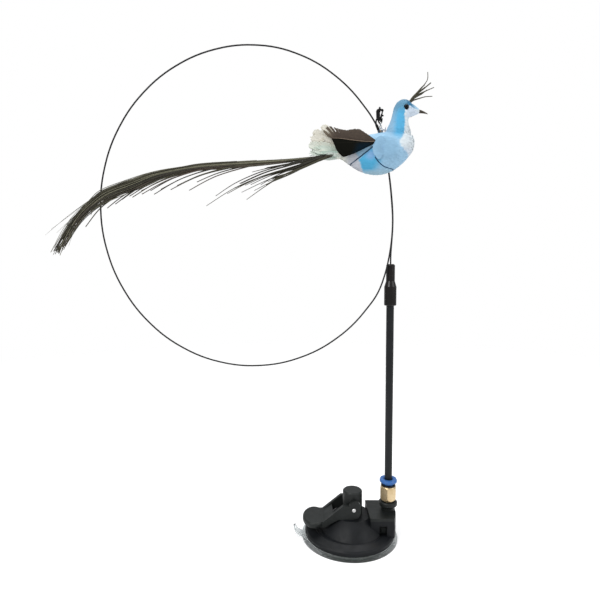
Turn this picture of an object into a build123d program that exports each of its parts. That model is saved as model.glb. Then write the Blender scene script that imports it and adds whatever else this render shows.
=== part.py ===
from build123d import *
import os
from math import cos, pi, radians, sin, sqrt, tan

# Cat toy on a lever suction base. A short stiff tube stands in a push-in fitting beside the lever,
# a spring wire makes one big turn above it, and a stuffed bird with a long feather tail hangs from
# a short end wire on a small claw clasp. Millimetres. The origin is the middle of the suction pad's
# underside, X to the right, Y away from the viewer, Z up. The lever is locked and the bird hangs.

# Play and air that all the fits are made from
run_gap = 0.05
seat_gap = 0.1
soft_gap = 0.3
overrun = 1.0

# Suction pad, a clear rubber disc whose middle the locked lever draws up
pad_r = 38.5
pad_t = 2.4
lip_t = 1.2
lip_w = 2.2
seal_r = 30.0
pad_lift = 2.4
pad_floor_t = 1.9
hub_r = 12.6
hub_roof_t = 1.9
tab_w = 7.0
tab_t = 1.5
tab_reach = 7.0
tab_rise = 8.0
tab_root = 2.0

# Stud that is moulded into the pad and pulls it
stud_r = 10.0
stud_t = 2.0
stud_stem_r = 2.5
stud_stem_l = 8.0

# Housing, a black moulded dome with a flange that presses on the pad. The dome and the post stand a
# little nearer to the tower than the flange's middle
post_x = 2.4
flange_r = 36.0
flange_wall = 2.7
flange_slope = 2.4
flange_bevel = 1.1
groove_r = 27.4
groove_land = 1.1
groove_depth = 0.9
dome_foot_r = 25.6
dome_r = 14.5
dome_h = 11.2
dome_bulge = 0.6
wall_t = 2.2
guide_t = 2.0
guide_l = 7.6

# Plunger post and the steel pin through it
post_r = 7.8
post_bevel = 0.8
post_rise = 11.9
pin_r = 1.5
pin_end = 0.2
hub_gap = 0.6

# Lever: two cheeks with a cam edge, a web and a round thumb paddle
cam_high = 7.5
cam_low = 5.5
lever_rest_gap = 0.1
cheek_play = 0.4
cheek_t = 3.3
lug_rise = 6.6
shoulder_z = 3.3
shoulder_in = 3.6
shoulder_out = 8.8
belly_flat = 12.0
belly_drop = 2.0
belly_knee = 16.0
belly_knee_low = 23.2
ramp_toe = 24.0
paddle_reach = 30.9
paddle_half_l = 9.5
paddle_half_w = 14.4
paddle_drop = 9.0
paddle_t = 4.6
paddle_round = 1.6
web_t = 2.2
web_drop = 1.2
web_end = 16.2

# Tower at the flange's edge, and the adapter that clips into it
tower_left = 14.8
tower_r = 37.0
tower_half_w = 15.2
tower_round = 1.0
tower_top_z = 18.5
plate_t = 2.5
pocket_wall = 2.4
pocket_left_wall = 5.7
pocket_w = 10.4
pocket_depth = 10.7
window_w = 5.8
window_h = 8.9
window_low_z = 5.9
tooth_w = 4.0
tooth_h = 4.2
tooth_proud = 1.0
spring_slot = 1.1
neck_r = 5.5
neck_h = 2.6
collar_r = 7.3
collar_cone_h = 1.8
collar_h = 3.1

# Push-in fitting of brass, with its seal, grab ring, retainer and blue release collar
tube_axis_x = 31.4
hex_flat = 12.0
fitting_h = 12.5
cup_r = 4.4
cup_h = 4.8
hex_top_r = 5.7
hex_top_bevel = 1.3
stem_r = 2.9
stem_l = 9.2
drain_r = 1.5
stop_t = 1.7
seal_groove_up = 1.1
seal_groove_h = 2.0
groove_wide_r = 4.95
ring_seat_up = 3.8
ring_seat_h = 1.4
sleeve_r = 4.2
grab_t = 0.4
grab_band = 1.1
grab_teeth = 8
tooth_slot = 0.9
retainer_r = 5.8
retainer_h = 1.2
release_r = 7.0
release_travel = 0.9
release_cone_h = 1.3
release_flange_h = 1.1
release_lip = 0.5
release_step = 1.4

# Tube, coupling sleeve and the plug that holds the wire
tube_r = 3.0
tube_bore_r = 2.0
tube_l = 166.5
socket_depth = 9.5
coupler_r = 4.8
coupler_l = 15.0
coupler_cone = 4.4
coupler_neck_r = 3.45
coupler_neck_l = 13.5
coupler_round = 0.9
plug_l = 12.0
plug_grip = 7.0

# Spring wire: straight out of the sleeve, once round an oval, and back up beside itself
wire_r = 0.6
wire_rise = 7.853
loop_half_w = 118.1
loop_half_h = 124.3
loop_flat_share = 0.03
loop_from = 34.0
loop_to = 327.0
loop_steps = 19
arc_share = 0.45
sleeve_pass_y = -4.2
pair_pitch = 1.8
eye_r = 1.65
eye_turn = 280.0
eye_arcs = 3

# Places on the riser behind the bird: share of the loop's half width to the right of its middle,
# and share of its half height above its middle
riser_shares = (
    (0.9255, -0.290),
    (0.9410, -0.080),
    (0.9220, 0.137),
    (0.8815, 0.378),
)
return_shares = (
    (0.8940, -0.386, 1.0),
    (0.9230, -0.226, 1.0),
    (0.9340, -0.080, 0.62),
    (0.9170, 0.137, 0.43),
    (0.8770, 0.378, 0.43),
    (0.8115, 0.531, 0.43),
)

# Crimped ferrule that joins the spring wire and the short end wire
ferrule_r = 1.05
ferrule_waist_r = 0.85
ferrule_l = 3.9
ferrule_waist_l = 0.7

# Claw clasp. The wire's eye holds its arm, and the bird's ring goes through its tail. Its place is
# given in shares of the loop's half width and half height from the loop's middle
clasp_shares = (0.837439, 0.598552)
clasp_t = 1.3
arm_h = 1.1
claw_gate_r = 1.4
claw_gate_out = 0.5
claw_gate_down = 1.95
claw_left_r = 1.75
claw_left_out = -0.9
claw_right_r = 1.25
claw_right_out = 1.75
belly_r = 2.15
belly_out = -0.35
belly_down = 5.2
tail_eye_r = 1.5
tail_hole_r = 0.75
tail_out = 0.6
tail_down = 9.0
trigger_nose_r = 0.45
trigger_nose_out = 2.1
trigger_nose_down = 1.75
trigger_boss_r = 0.8
trigger_boss_out = 1.0
trigger_boss_down = 6.0
trigger_open = 12.0
trigger_pin_r = 0.4
trigger_t = 0.7
nub_r = 0.6
nub_out = 2.55
nub_down = 4.4
gate_low = 4.9

# Ring and wire hanger on the bird's back
ring_r = 1.7
ring_wire_r = 0.35
hanger_eye_r = 1.0
hanger_wire_r = 0.3
hanger_play = 0.05
hanger_drop = 1.2
hanger_end_ahead = 3.4
hanger_end_up = 5.5
hanger_bend_r = 1.6
binding_r = 0.95
binding_l = 2.6

# Stiff wire inside the bird's neck: level in the breast, then up into the head
neck_wire_r = 1.0
neck_wire_bend_r = 3.0
neck_wire_up = 0.5
neck_wire_back = 3.0
neck_wire_ahead = 2.5
neck_wire_top_ahead = 1.4
neck_wire_top_dip = 0.2

# Bird. Its body hangs in front of the clasp and under it
bird_front = 11.55
body_len = 56.0
body_half_h = 14.6
body_half_w = 12.0
body_under = 26.9
neck_h_len = 33.2
neck_base_up = 5.5
neck_half_w = 10.0
face_len = 12.4
face_r = 5.4
face_ahead = 3.0
face_up = 27.2
beak_len = 6.6
beak_r = 1.35
beak_dip = 1.9
eye_bead_r = 1.95
eye_bead_ahead = 1.8
eye_bead_dip = 0.4
eye_bead_out = 5.0
crest_base_r = 1.0
crest_tip_r = 0.35
crest_len = 23.0
crest_ahead = 5.2
crest_up = 4.0
thread_proud = 0.45
thread_w = 0.9
thread_under = 12.0
feather_t = 0.5
wing_len = 38.8
wing_h = 13.0
wing_root_up = 5.1
wing_tuck = 7.6
wing_boss_r = 0.9
wing_boss_l = 6.0
rump_in = 1.5
rump_up = 1.5
rump_len = 27.0
rump_half_h = 11.0
rump_half_w = 0.95
tail_in = 3.5
tail_len = 191.0
tail_drop = 70.0
tail_under = 4.2
tail_half_h = 2.4
tail_half_w = 0.25
tail_apart = 0.4
side_in = 7.5
side_len = 82.0
side_drop = 35.0
side_under = 5.5
side_half_h = 1.5
side_half_w = 0.25

# Places along the body, as shares of its length from its back: the hanger, the neck, the wings' root
hang_share = 0.6
neck_share = 0.80357
wing_root_share = 0.4732

# A trailing strand's cut is a thin leaf: its flat flank is this share of its half height
leaf_flank_share = 0.4

# Threads under the belly: share of the body's length from its back, and of its half height above its
# middle, first for the low end and then for the high end
thread_shares = (
    ("rear", (0.1411, -0.6575), (0.4304, 0.1164)),
    ("front", (0.7125, -0.8767), (0.4857, -0.3493)),
)

# Bird's body: place along it from back to breast, middle height, half height and half width,
# the last three as shares of its half height and half width
body_shares = (
    (0.000, 0.04, 0.28, 0.16),
    (0.100, 0.06, 0.45, 0.28),
    (0.260, 0.00, 0.80, 0.50),
    (0.450, -0.06, 0.98, 0.76),
    (0.640, 0.02, 1.00, 0.97),
    (0.820, 0.20, 0.80, 0.98),
    (0.940, 0.38, 0.50, 0.76),
    (1.000, 0.44, 0.10, 0.15),
)

# Neck and head: height up the neck, shift forward, half length and half width
neck_shares = (
    (0.00, -0.08, 0.90, 0.78),
    (0.28, 0.00, 0.88, 0.76),
    (0.48, 0.05, 0.66, 0.62),
    (0.66, 0.18, 0.59, 0.55),
    (0.83, 0.34, 0.62, 0.57),
    (0.94, 0.39, 0.46, 0.42),
    (1.00, 0.40, 0.10, 0.10),
)

# Wing feathers in the wing's own plane: back from the root, and above it. The boss is where each
# feather is fixed on the body, at shares of the wing's length and height
brown_boss = (0.12, 0.27)
black_boss = (0.12, -0.09)
brown_shares = (
    (0.00, 0.17),
    (0.36, 0.84),
    (0.62, 1.00),
    (0.86, 0.98),
    (1.00, 0.72),
    (0.78, 0.28),
    (0.45, 0.13),
)
black_shares = (
    (0.00, 0.00),
    (0.45, 0.12),
    (0.78, 0.25),
    (0.71, -0.42),
    (0.58, -0.82),
    (0.27, -0.46),
)

# Rump feathers: back from the body, rise of the middle, half height and half width
rump_shares = (
    (0.00, 0.00, 0.50, 0.90),
    (0.35, 0.28, 0.80, 1.00),
    (0.75, 0.30, 1.00, 0.90),
    (1.00, 0.10, 0.75, 0.50),
)

# Long tail: back from its root, drop of its middle line, half height and half width
tail_shares = (
    (0.000, 0.000, 0.22, 0.9),
    (0.110, 0.055, 0.16, 0.9),
    (0.360, 0.090, 0.38, 1.0),
    (0.610, 0.195, 0.66, 1.0),
    (0.750, 0.345, 0.95, 1.0),
    (0.880, 0.585, 0.90, 1.0),
    (1.000, 1.000, 0.25, 0.6),
)
side_shares = (
    (0.00, 0.00, 0.30, 0.9),
    (0.30, 0.25, 0.45, 1.0),
    (0.65, 0.60, 0.95, 1.0),
    (1.00, 1.00, 0.40, 0.6),
)

# Face from the head to the beak, and the beak: share of the length, dip of the beak, share of radius
face_shares = ((0.00, 1.00), (0.50, 0.78), (0.85, 0.42), (1.00, 0.28))
beak_shares = ((0.00, 0.00, 1.00), (0.50, 0.35, 0.62), (1.00, 1.00, 0.15))

# Crest strands: angle above the level in degrees, and length as a share of the longest
crest_shares = ((62.0, 1.00), (49.0, 0.86), (38.0, 0.92), (22.0, 0.76))

# Heights that the pieces share, worked out from the sizes above
stud_z = pad_lift + pad_floor_t
hub_top_z = stud_z + stud_t + 2 * seat_gap + hub_roof_t
seat_z = pad_t + seat_gap
flange_top_z = seat_z + flange_wall + flange_bevel
groove_z = flange_top_z + flange_slope - groove_depth - flange_bevel
saddle_z = groove_z + dome_h
bore_r = post_r + run_gap
pin_z = saddle_z + lever_rest_gap + cam_high
lever_lift = cam_high - cam_low
cam_step = lever_lift / (pi / 2)
cheek_in = post_r + cheek_play
cheek_out = cheek_in + cheek_t
plate_top_z = tower_top_z + plate_t
collar_top_z = plate_top_z + neck_h + collar_cone_h + collar_h
fitting_top_z = collar_top_z + fitting_h
tube_stop_z = collar_top_z + stop_t
retainer_top_z = fitting_top_z + retainer_h
tube_top_z = tube_stop_z + tube_l
coupler_z = tube_top_z - socket_depth
coupler_top_z = coupler_z + coupler_l + coupler_cone + coupler_neck_l
wire_start_z = tube_top_z - plug_grip
tube_axis = Axis((tube_axis_x, 0, 0), (0, 0, 1))
post_axis = Axis((post_x, 0, 0), (0, 0, 1))
loop_x = tube_axis_x - loop_half_w * riser_shares[0][0]
loop_z = coupler_top_z + wire_rise - loop_half_h * riser_shares[0][1]
clasp_x = loop_x + loop_half_w * clasp_shares[0]
clasp_y = -pair_pitch - eye_r
clasp_z = loop_z + loop_half_h * clasp_shares[1]
ring_x = clasp_x + tail_out
ring_z = clasp_z - tail_down

# Places of the bird's parts, from the ring that it hangs on
bird_y = clasp_y - bird_front
body_back_x = ring_x - body_len * hang_share
body_mid_z = ring_z - body_under
neck_base_x = body_back_x + body_len * neck_share
neck_base_z = body_mid_z + neck_base_up
face_x = neck_base_x + face_ahead
face_z = neck_base_z + face_up
eye_bead_x = face_x + eye_bead_ahead
eye_bead_z = face_z - eye_bead_dip
crest_x = face_x + crest_ahead
crest_z = face_z + crest_up
neck_wire_path = (
    (neck_base_x - neck_wire_back, body_mid_z + neck_wire_up),
    (neck_base_x + neck_wire_ahead, body_mid_z + neck_wire_up),
    (face_x + neck_wire_top_ahead, face_z - neck_wire_top_dip),
)
wing_root_x = body_back_x + body_len * wing_root_share
wing_root_z = body_mid_z + wing_root_up
wing_root_out = body_half_w + soft_gap
rump_root_x = body_back_x + rump_in
rump_root_z = body_mid_z + rump_up
tail_root_x = rump_root_x - rump_len + tail_in
tail_root_z = rump_root_z - tail_under
side_root_x = rump_root_x - rump_len + side_in
side_root_z = rump_root_z - side_under


def outline_face(*points):
    """A face with straight sides through the points, in the active sketch."""
    with BuildLine() as outline:
        Polyline(*points, close=True)
    make_face(outline.edges())


def oval(half_a, half_b):
    """A closed oval of four quarter arcs in the active sketch."""
    c = cos(pi / 4)
    with BuildLine() as outline:
        ThreePointArc((half_a, 0), (half_a * c, half_b * c), (0, half_b))
        ThreePointArc((0, half_b), (-half_a * c, half_b * c), (-half_a, 0))
        ThreePointArc((-half_a, 0), (-half_a * c, -half_b * c), (0, -half_b))
        ThreePointArc((0, -half_b), (half_a * c, -half_b * c), (half_a, 0))
    make_face(outline.edges())


def leaf(half_a, half_b):
    """A closed leaf of six straight sides in the active sketch."""
    flank = half_b * leaf_flank_share
    outline_face(
        (half_a, -flank), (half_a, flank), (0, half_b), (-half_a, flank), (-half_a, -flank), (0, -half_b)
    )


def save(piece, name):
    """Label one finished sub-part and write its file."""
    piece.part.label = name
    export_step(piece.part, "parts/" + name + ".step")


os.makedirs("parts", exist_ok=True)

# Suction pad: flat sealing ring, drawn-up middle, closed hub round the stud, and a pull tab
with BuildPart() as suction_pad:
    with BuildSketch(Plane.XZ):
        with BuildLine():
            half_seal = seal_r / 2
            ThreePointArc((0, pad_lift), (half_seal, pad_lift * 0.75), (seal_r, 0))
            Polyline(
                (seal_r, 0),
                (pad_r, 0),
                (pad_r, lip_t),
                (pad_r - lip_w, pad_t),
                (seal_r, pad_t),
                (hub_r, pad_t + pad_lift),
                (hub_r, hub_top_z),
                (0, hub_top_z),
                (0, pad_lift),
            )
        make_face()
    revolve(axis=Axis.Z)
    with BuildSketch(Plane.XY.offset(stud_z)):
        Circle(stud_r + seat_gap)
    extrude(amount=stud_t + 2 * seat_gap, mode=Mode.SUBTRACT)
    with BuildSketch(Plane.XY.offset(stud_z + stud_t)):
        Circle(stud_stem_r + seat_gap)
    extrude(amount=hub_top_z, mode=Mode.SUBTRACT)
    with BuildSketch(Plane.XZ.offset(-tab_w / 2)):
        with BuildLine():
            root = (-(pad_r - tab_root), 0)
            tip = (-(pad_r + tab_reach), tab_rise)
            up_root = (-(pad_r - tab_root), tab_t)
            up_tip = (-(pad_r + tab_reach) + tab_t, tab_rise + tab_t / 2)
            lower = TangentArc(root, tip, tangent=(-1, 0))
            upper = TangentArc(up_root, up_tip, tangent=(-1, 0))
            Line(root, up_root)
            Line(tip, up_tip)
        make_face()
    extrude(amount=tab_w)
    tab_tip = suction_pad.edges().filter_by(lambda e: e.center().X < -(pad_r + tab_reach / 2))
    tab_ends = tab_tip.filter_by(lambda e: e.length < 2 * tab_t and abs(e.center().Y) > tab_w / 3)
    fillet(tab_ends, tab_w / 2 - seat_gap)
save(suction_pad, "suction_pad")

# Stud: a disc inside the pad's hub, with a stem up into the post
with BuildPart() as pad_stud:
    with BuildSketch(Plane.XY.offset(stud_z + seat_gap)):
        Circle(stud_r)
    extrude(amount=stud_t)
    with BuildSketch(Plane.XY.offset(stud_z + seat_gap + stud_t)):
        Circle(stud_stem_r)
    extrude(amount=hub_roof_t + hub_gap + stud_stem_l)
    chamfer(pad_stud.edges().group_by(Axis.Z)[-1], stud_stem_r / 5)
save(pad_stud, "pad_stud")


def tower_plan():
    """The tower seen from above: straight on three sides, and round like the flange outside."""
    front_x = sqrt(tower_r**2 - tower_half_w**2)
    with BuildLine() as outline:
        Polyline(
            (front_x, -tower_half_w),
            (tower_left, -tower_half_w),
            (tower_left, tower_half_w),
            (front_x, tower_half_w),
        )
        ThreePointArc((front_x, tower_half_w), (tower_r, 0), (front_x, -tower_half_w))
    make_face(outline.edges())


pocket_x = tower_left + pocket_left_wall + pocket_w / 2
pocket_half_d = tower_half_w - pocket_wall

# Housing: flange, groove, hollow dome, guide for the post, and the tower with its pocket
with BuildPart() as housing:
    foot_in = seal_r + soft_gap
    floor_z = groove_z - wall_t / 2
    roof_z = saddle_z - wall_t
    with BuildSketch(Plane.XZ):
        outline_face(
            (foot_in, seat_z),
            (flange_r, seat_z),
            (flange_r, seat_z + flange_wall),
            (flange_r - flange_bevel, flange_top_z),
            (groove_r + groove_land, groove_z + groove_depth),
            (groove_r, groove_z),
            (0, groove_z),
            (0, floor_z),
            (foot_in, floor_z),
        )
    revolve(axis=Axis.Z)
    with BuildSketch(Plane.XZ):
        with BuildLine():
            Polyline((post_x, saddle_z), (post_x, floor_z), (post_x + dome_foot_r, floor_z))
            Line((post_x + dome_foot_r, floor_z), (post_x + dome_foot_r, groove_z))
            SagittaArc((post_x + dome_foot_r, groove_z), (post_x + dome_r, saddle_z), -dome_bulge)
            Line((post_x + dome_r, saddle_z), (post_x, saddle_z))
        make_face()
    revolve(axis=post_axis)
    with BuildSketch(Plane.XZ):
        with BuildLine():
            hollow_r = dome_foot_r - wall_t
            Polyline(
                (post_x + dome_r - wall_t / 2, roof_z),
                (post_x + bore_r + guide_t, roof_z),
                (post_x + bore_r + guide_t, saddle_z - guide_l),
                (post_x + bore_r, saddle_z - guide_l),
                (post_x + bore_r, saddle_z + overrun),
                (post_x, saddle_z + overrun),
                (post_x, floor_z - overrun),
                (post_x + hollow_r, floor_z - overrun),
                (post_x + hollow_r, floor_z),
            )
            SagittaArc((post_x + hollow_r, floor_z), (post_x + dome_r - wall_t / 2, roof_z), -dome_bulge)
        make_face()
    revolve(axis=post_axis, mode=Mode.SUBTRACT)
    dome_edge = housing.edges().filter_by(GeomType.CIRCLE).filter_by(
        lambda e: abs(e.radius - dome_r) < run_gap
    )
    fillet(dome_edge, wall_t / 2)
    with BuildSketch(Plane.XY.offset(seat_z + flange_wall)):
        tower_plan()
    extrude(amount=tower_top_z - seat_z - flange_wall)
    upright = housing.edges().filter_by(Axis.Z).filter_by(
        lambda e: e.center().Y < -tower_half_w + run_gap
    )
    fillet(upright, tower_round)
    with BuildSketch(Plane.XY.offset(tower_top_z)):
        with Locations((pocket_x, 0)):
            Rectangle(pocket_w, 2 * pocket_half_d)
    extrude(amount=-pocket_depth, mode=Mode.SUBTRACT)
    with BuildSketch(Plane.XZ.offset(tower_half_w + overrun)):
        with Locations((pocket_x + (window_w - pocket_w) / 8, window_low_z + window_h / 2)):
            Rectangle(window_w, window_h)
    extrude(amount=-(pocket_wall + 2 * overrun), mode=Mode.SUBTRACT)
save(housing, "housing")

# Adapter: top plate, snap tongue in the pocket, neck and round collar under the fitting
tongue_w = pocket_w - 2 * seat_gap
tongue_half_d = pocket_half_d - seat_gap
tongue_l = pocket_depth - seat_gap
with BuildPart() as adapter:
    with BuildSketch(Plane.XY.offset(tower_top_z)):
        tower_plan()
    extrude(amount=plate_t)
    plate_uprights = adapter.edges().filter_by(Axis.Z).filter_by(
        lambda e: e.center().Y < -tower_half_w + run_gap
    )
    fillet(plate_uprights, tower_round)
    with BuildSketch(Plane.XY.offset(tower_top_z)):
        with Locations((pocket_x, 0)):
            Rectangle(tongue_w, 2 * tongue_half_d)
    extrude(amount=-tongue_l)
    with BuildSketch(Plane.XZ.offset(tongue_half_d + overrun)):
        with GridLocations(tooth_w + 2 * spring_slot, 0, 2, 1):
            with Locations((pocket_x, tower_top_z - tongue_l + tongue_l / 2 - overrun)):
                Rectangle(spring_slot, tongue_l)
    extrude(amount=-(spring_slot * 2 + overrun), mode=Mode.SUBTRACT)
    with BuildSketch(Plane.YZ.offset(pocket_x - tooth_w / 2)):
        with BuildLine():
            tooth_low = window_low_z + (window_h - tooth_h) / 2
            Polyline(
                (-tongue_half_d, tooth_low),
                (-tongue_half_d, tooth_low + tooth_h),
                (-tongue_half_d - tooth_proud, tooth_low + tooth_h),
                (-tongue_half_d - tooth_proud / 4, tooth_low),
                close=True,
            )
        make_face()
    extrude(amount=tooth_w)
    with BuildSketch(Plane.XZ):
        outline_face(
            (tube_axis_x, plate_top_z - plate_t / 2),
            (tube_axis_x + neck_r, plate_top_z - plate_t / 2),
            (tube_axis_x + neck_r, plate_top_z + neck_h),
            (tube_axis_x + collar_r, plate_top_z + neck_h + collar_cone_h),
            (tube_axis_x + collar_r, collar_top_z - collar_h / 4),
            (tube_axis_x + collar_r - collar_h / 4, collar_top_z),
            (tube_axis_x, collar_top_z),
        )
    revolve(axis=tube_axis)
    with BuildSketch(Plane.XY.offset(collar_top_z)):
        with Locations((tube_axis_x, 0)):
            Circle(stem_r + seat_gap)
    extrude(amount=-(stem_l + seat_gap), mode=Mode.SUBTRACT)
save(adapter, "adapter")


def ring_of(inner_r, outer_r, low_z, high_z):
    """An upright ring round the tube's axis, in the active part."""
    with BuildSketch(Plane.XY.offset(low_z)) as plan:
        with Locations((tube_axis_x, 0)):
            Circle(outer_r)
            Circle(inner_r, mode=Mode.SUBTRACT)
    extrude(plan.sketch, amount=high_z - low_z)


tube_hole_r = tube_r + run_gap
seal_low_z = tube_stop_z + seal_groove_up
ring_seat_z = tube_stop_z + ring_seat_up
sleeve_bore_z = ring_seat_z + ring_seat_h

# Brass fitting: a hexagon turned down to a round cup below, a stem, and stepped bores
with BuildPart() as fitting_body:
    hex_corner_r = hex_flat / sqrt(3)
    with BuildSketch(Plane.XY.offset(collar_top_z)):
        with Locations((tube_axis_x, 0)):
            RegularPolygon(hex_flat / 2, 6, major_radius=False, rotation=15)
    extrude(amount=fitting_h)
    with BuildSketch(Plane.XZ):
        with BuildLine():
            Line((tube_axis_x, collar_top_z), (tube_axis_x + cup_r, collar_top_z))
            SagittaArc(
                (tube_axis_x + cup_r, collar_top_z),
                (tube_axis_x + hex_corner_r, collar_top_z + cup_h),
                -cup_h / 6,
            )
            Polyline(
                (tube_axis_x + hex_corner_r, collar_top_z + cup_h),
                (tube_axis_x + hex_corner_r, fitting_top_z - hex_top_bevel),
                (tube_axis_x + hex_top_r, fitting_top_z),
                (tube_axis_x, fitting_top_z),
                (tube_axis_x, collar_top_z),
            )
        make_face()
    revolve(axis=tube_axis, mode=Mode.INTERSECT)
    with BuildSketch(Plane.XY.offset(collar_top_z)):
        with Locations((tube_axis_x, 0)):
            Circle(stem_r)
    extrude(amount=-stem_l)
    with BuildSketch(Plane.XZ):
        outline_face(
            (tube_axis_x, collar_top_z - stem_l - overrun),
            (tube_axis_x + drain_r, collar_top_z - stem_l - overrun),
            (tube_axis_x + drain_r, tube_stop_z),
            (tube_axis_x + tube_hole_r, tube_stop_z),
            (tube_axis_x + tube_hole_r, seal_low_z),
            (tube_axis_x + groove_wide_r, seal_low_z),
            (tube_axis_x + groove_wide_r, seal_low_z + seal_groove_h),
            (tube_axis_x + tube_hole_r, seal_low_z + seal_groove_h),
            (tube_axis_x + tube_hole_r, ring_seat_z),
            (tube_axis_x + groove_wide_r, ring_seat_z),
            (tube_axis_x + groove_wide_r, sleeve_bore_z),
            (tube_axis_x + sleeve_r + seat_gap, sleeve_bore_z),
            (tube_axis_x + sleeve_r + seat_gap, fitting_top_z + overrun),
            (tube_axis_x, fitting_top_z + overrun),
        )
    revolve(axis=tube_axis, mode=Mode.SUBTRACT)
save(fitting_body, "fitting_body")

# Seal in its groove
seal_wire_r = (groove_wide_r - run_gap - tube_hole_r) / 2
with BuildPart() as o_ring:
    with BuildSketch(Plane.XZ):
        with Locations((tube_axis_x + tube_hole_r + seal_wire_r, seal_low_z + seal_groove_h / 2)):
            Circle(seal_wire_r)
    revolve(axis=tube_axis)
save(o_ring, "o_ring")

# Grab ring: a thin steel ring with teeth that reach in to the tube
with BuildPart() as grab_ring:
    ring_of(tube_hole_r, groove_wide_r - run_gap, ring_seat_z, ring_seat_z + grab_t)
    with BuildSketch(Plane.XY.offset(ring_seat_z)):
        with Locations((tube_axis_x, 0)):
            with PolarLocations(tube_hole_r, grab_teeth):
                Rectangle(2 * (groove_wide_r - grab_band - tube_hole_r), tooth_slot)
    extrude(amount=grab_t, mode=Mode.SUBTRACT)
save(grab_ring, "grab_ring")

# Retainer: a black ring on the fitting's mouth
with BuildPart() as retainer_ring:
    ring_of(sleeve_r + seat_gap, retainer_r, fitting_top_z, retainer_top_z)
    chamfer(retainer_ring.edges().group_by(Axis.Z)[-1].sort_by(SortBy.RADIUS)[-1], retainer_h / 3)
save(retainer_ring, "retainer_ring")

# Release collar: a blue sleeve with a wide flange that is pushed down to free the tube
release_z = retainer_top_z + release_travel + seat_gap
with BuildPart() as release_collar:
    with BuildSketch(Plane.XZ):
        outline_face(
            (tube_axis_x + tube_hole_r + seat_gap, ring_seat_z + grab_t + release_travel + seat_gap),
            (tube_axis_x + sleeve_r, ring_seat_z + grab_t + release_travel + seat_gap),
            (tube_axis_x + sleeve_r, release_z),
            (tube_axis_x + release_r - release_step, release_z),
            (tube_axis_x + release_r, release_z + release_cone_h),
            (tube_axis_x + release_r, release_z + release_cone_h + release_flange_h),
            (tube_axis_x + release_r - release_lip, release_z + release_cone_h + 2 * release_flange_h),
            (tube_axis_x + sleeve_r, release_z + release_cone_h + 2 * release_flange_h),
            (tube_axis_x + tube_hole_r + seat_gap, release_z + release_cone_h + release_flange_h),
        )
    revolve(axis=tube_axis)
save(release_collar, "release_collar")

# Tube: black, open bore, bottoms on the fitting's stop
with BuildPart() as wand_tube:
    ring_of(tube_bore_r, tube_r, tube_stop_z + seat_gap, tube_top_z)
    chamfer(wand_tube.edges().group_by(Axis.Z)[0].sort_by(SortBy.RADIUS)[-1], tube_r / 8)
save(wand_tube, "wand_tube")

# Coupling sleeve: wide over the tube's end, tapering to the neck that the wire leaves
with BuildPart() as wand_sleeve:
    with BuildSketch(Plane.XZ):
        cone_z = coupler_z + coupler_l
        neck_z = cone_z + coupler_cone
        outline_face(
            (tube_axis_x, coupler_z),
            (tube_axis_x + coupler_r, coupler_z),
            (tube_axis_x + coupler_r, cone_z),
            (tube_axis_x + coupler_neck_r, neck_z),
            (tube_axis_x + coupler_neck_r, coupler_top_z),
            (tube_axis_x, coupler_top_z),
        )
    revolve(axis=tube_axis)
    fillet(wand_sleeve.edges().group_by(Axis.Z)[0], coupler_round)
    chamfer(wand_sleeve.edges().group_by(Axis.Z)[-1], coupler_round)
    with BuildSketch(Plane.XY.offset(coupler_z)):
        with Locations((tube_axis_x, 0)):
            Circle(tube_r + seat_gap)
    extrude(amount=socket_depth + seat_gap, mode=Mode.SUBTRACT)
    with BuildSketch(Plane.XY.offset(coupler_z)):
        with Locations((tube_axis_x, 0)):
            Circle(wire_r + run_gap)
    extrude(amount=coupler_top_z, mode=Mode.SUBTRACT)
save(wand_sleeve, "wand_sleeve")

# Plug: pressed in the tube's top, with a blind hole that grips the wire
with BuildPart() as wire_plug:
    with BuildSketch(Plane.XY.offset(tube_top_z - plug_l)):
        with Locations((tube_axis_x, 0)):
            Circle(tube_bore_r - run_gap)
    extrude(amount=plug_l)
    with BuildSketch(Plane.XY.offset(wire_start_z - seat_gap)):
        with Locations((tube_axis_x, 0)):
            Circle(wire_r + run_gap)
    extrude(amount=plug_l, mode=Mode.SUBTRACT)
save(wire_plug, "wire_plug")


def loop_place(right_share, up_share, y):
    """A point by its shares of the loop's half width and half height from the loop's middle."""
    return (loop_x + loop_half_w * right_share, y, loop_z + loop_half_h * up_share)


# The wire's route: corners of straight runs, each rounded by the largest arc that its runs allow.
# It starts at the sleeve's top, and a straight run joins it to the plug
loop_turn = (loop_to - loop_from) / loop_steps
route = [(tube_axis_x, 0, coupler_top_z)]
route += [loop_place(right, up, 0) for right, up in riser_shares]
for step in range(loop_steps + 1):
    angle = radians(loop_from + loop_turn * step)
    inward = loop_flat_share * max(cos(angle), 0) ** 2 * (1 + sin(angle))
    reach = (1 - inward) / cos(radians(loop_turn / 2))
    y = sleeve_pass_y * step / loop_steps
    route.append(loop_place(reach * cos(angle), reach * sin(angle), y))
route += [loop_place(right, up, sleeve_pass_y * back) for right, up, back in return_shares]
route += [
    (clasp_x, -pair_pitch, clasp_z - 2 * eye_r),
    (clasp_x, -pair_pitch, clasp_z),
]


def arc_radii(points):
    """Each corner's radius: a share of its shorter run over the tangent of half its turn."""
    radii = []
    for before, corner, after in zip(points, points[1:], points[2:]):
        run_in = Vector(corner) - Vector(before)
        run_out = Vector(after) - Vector(corner)
        half_turn = radians(run_in.get_angle(run_out)) / 2
        radii.append(arc_share * min(run_in.length, run_out.length) / tan(half_turn))
    return radii


wire_radii = arc_radii(route)
print("wire arcs from", round(min(wire_radii), 1), "to", round(max(wire_radii), 1))

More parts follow.
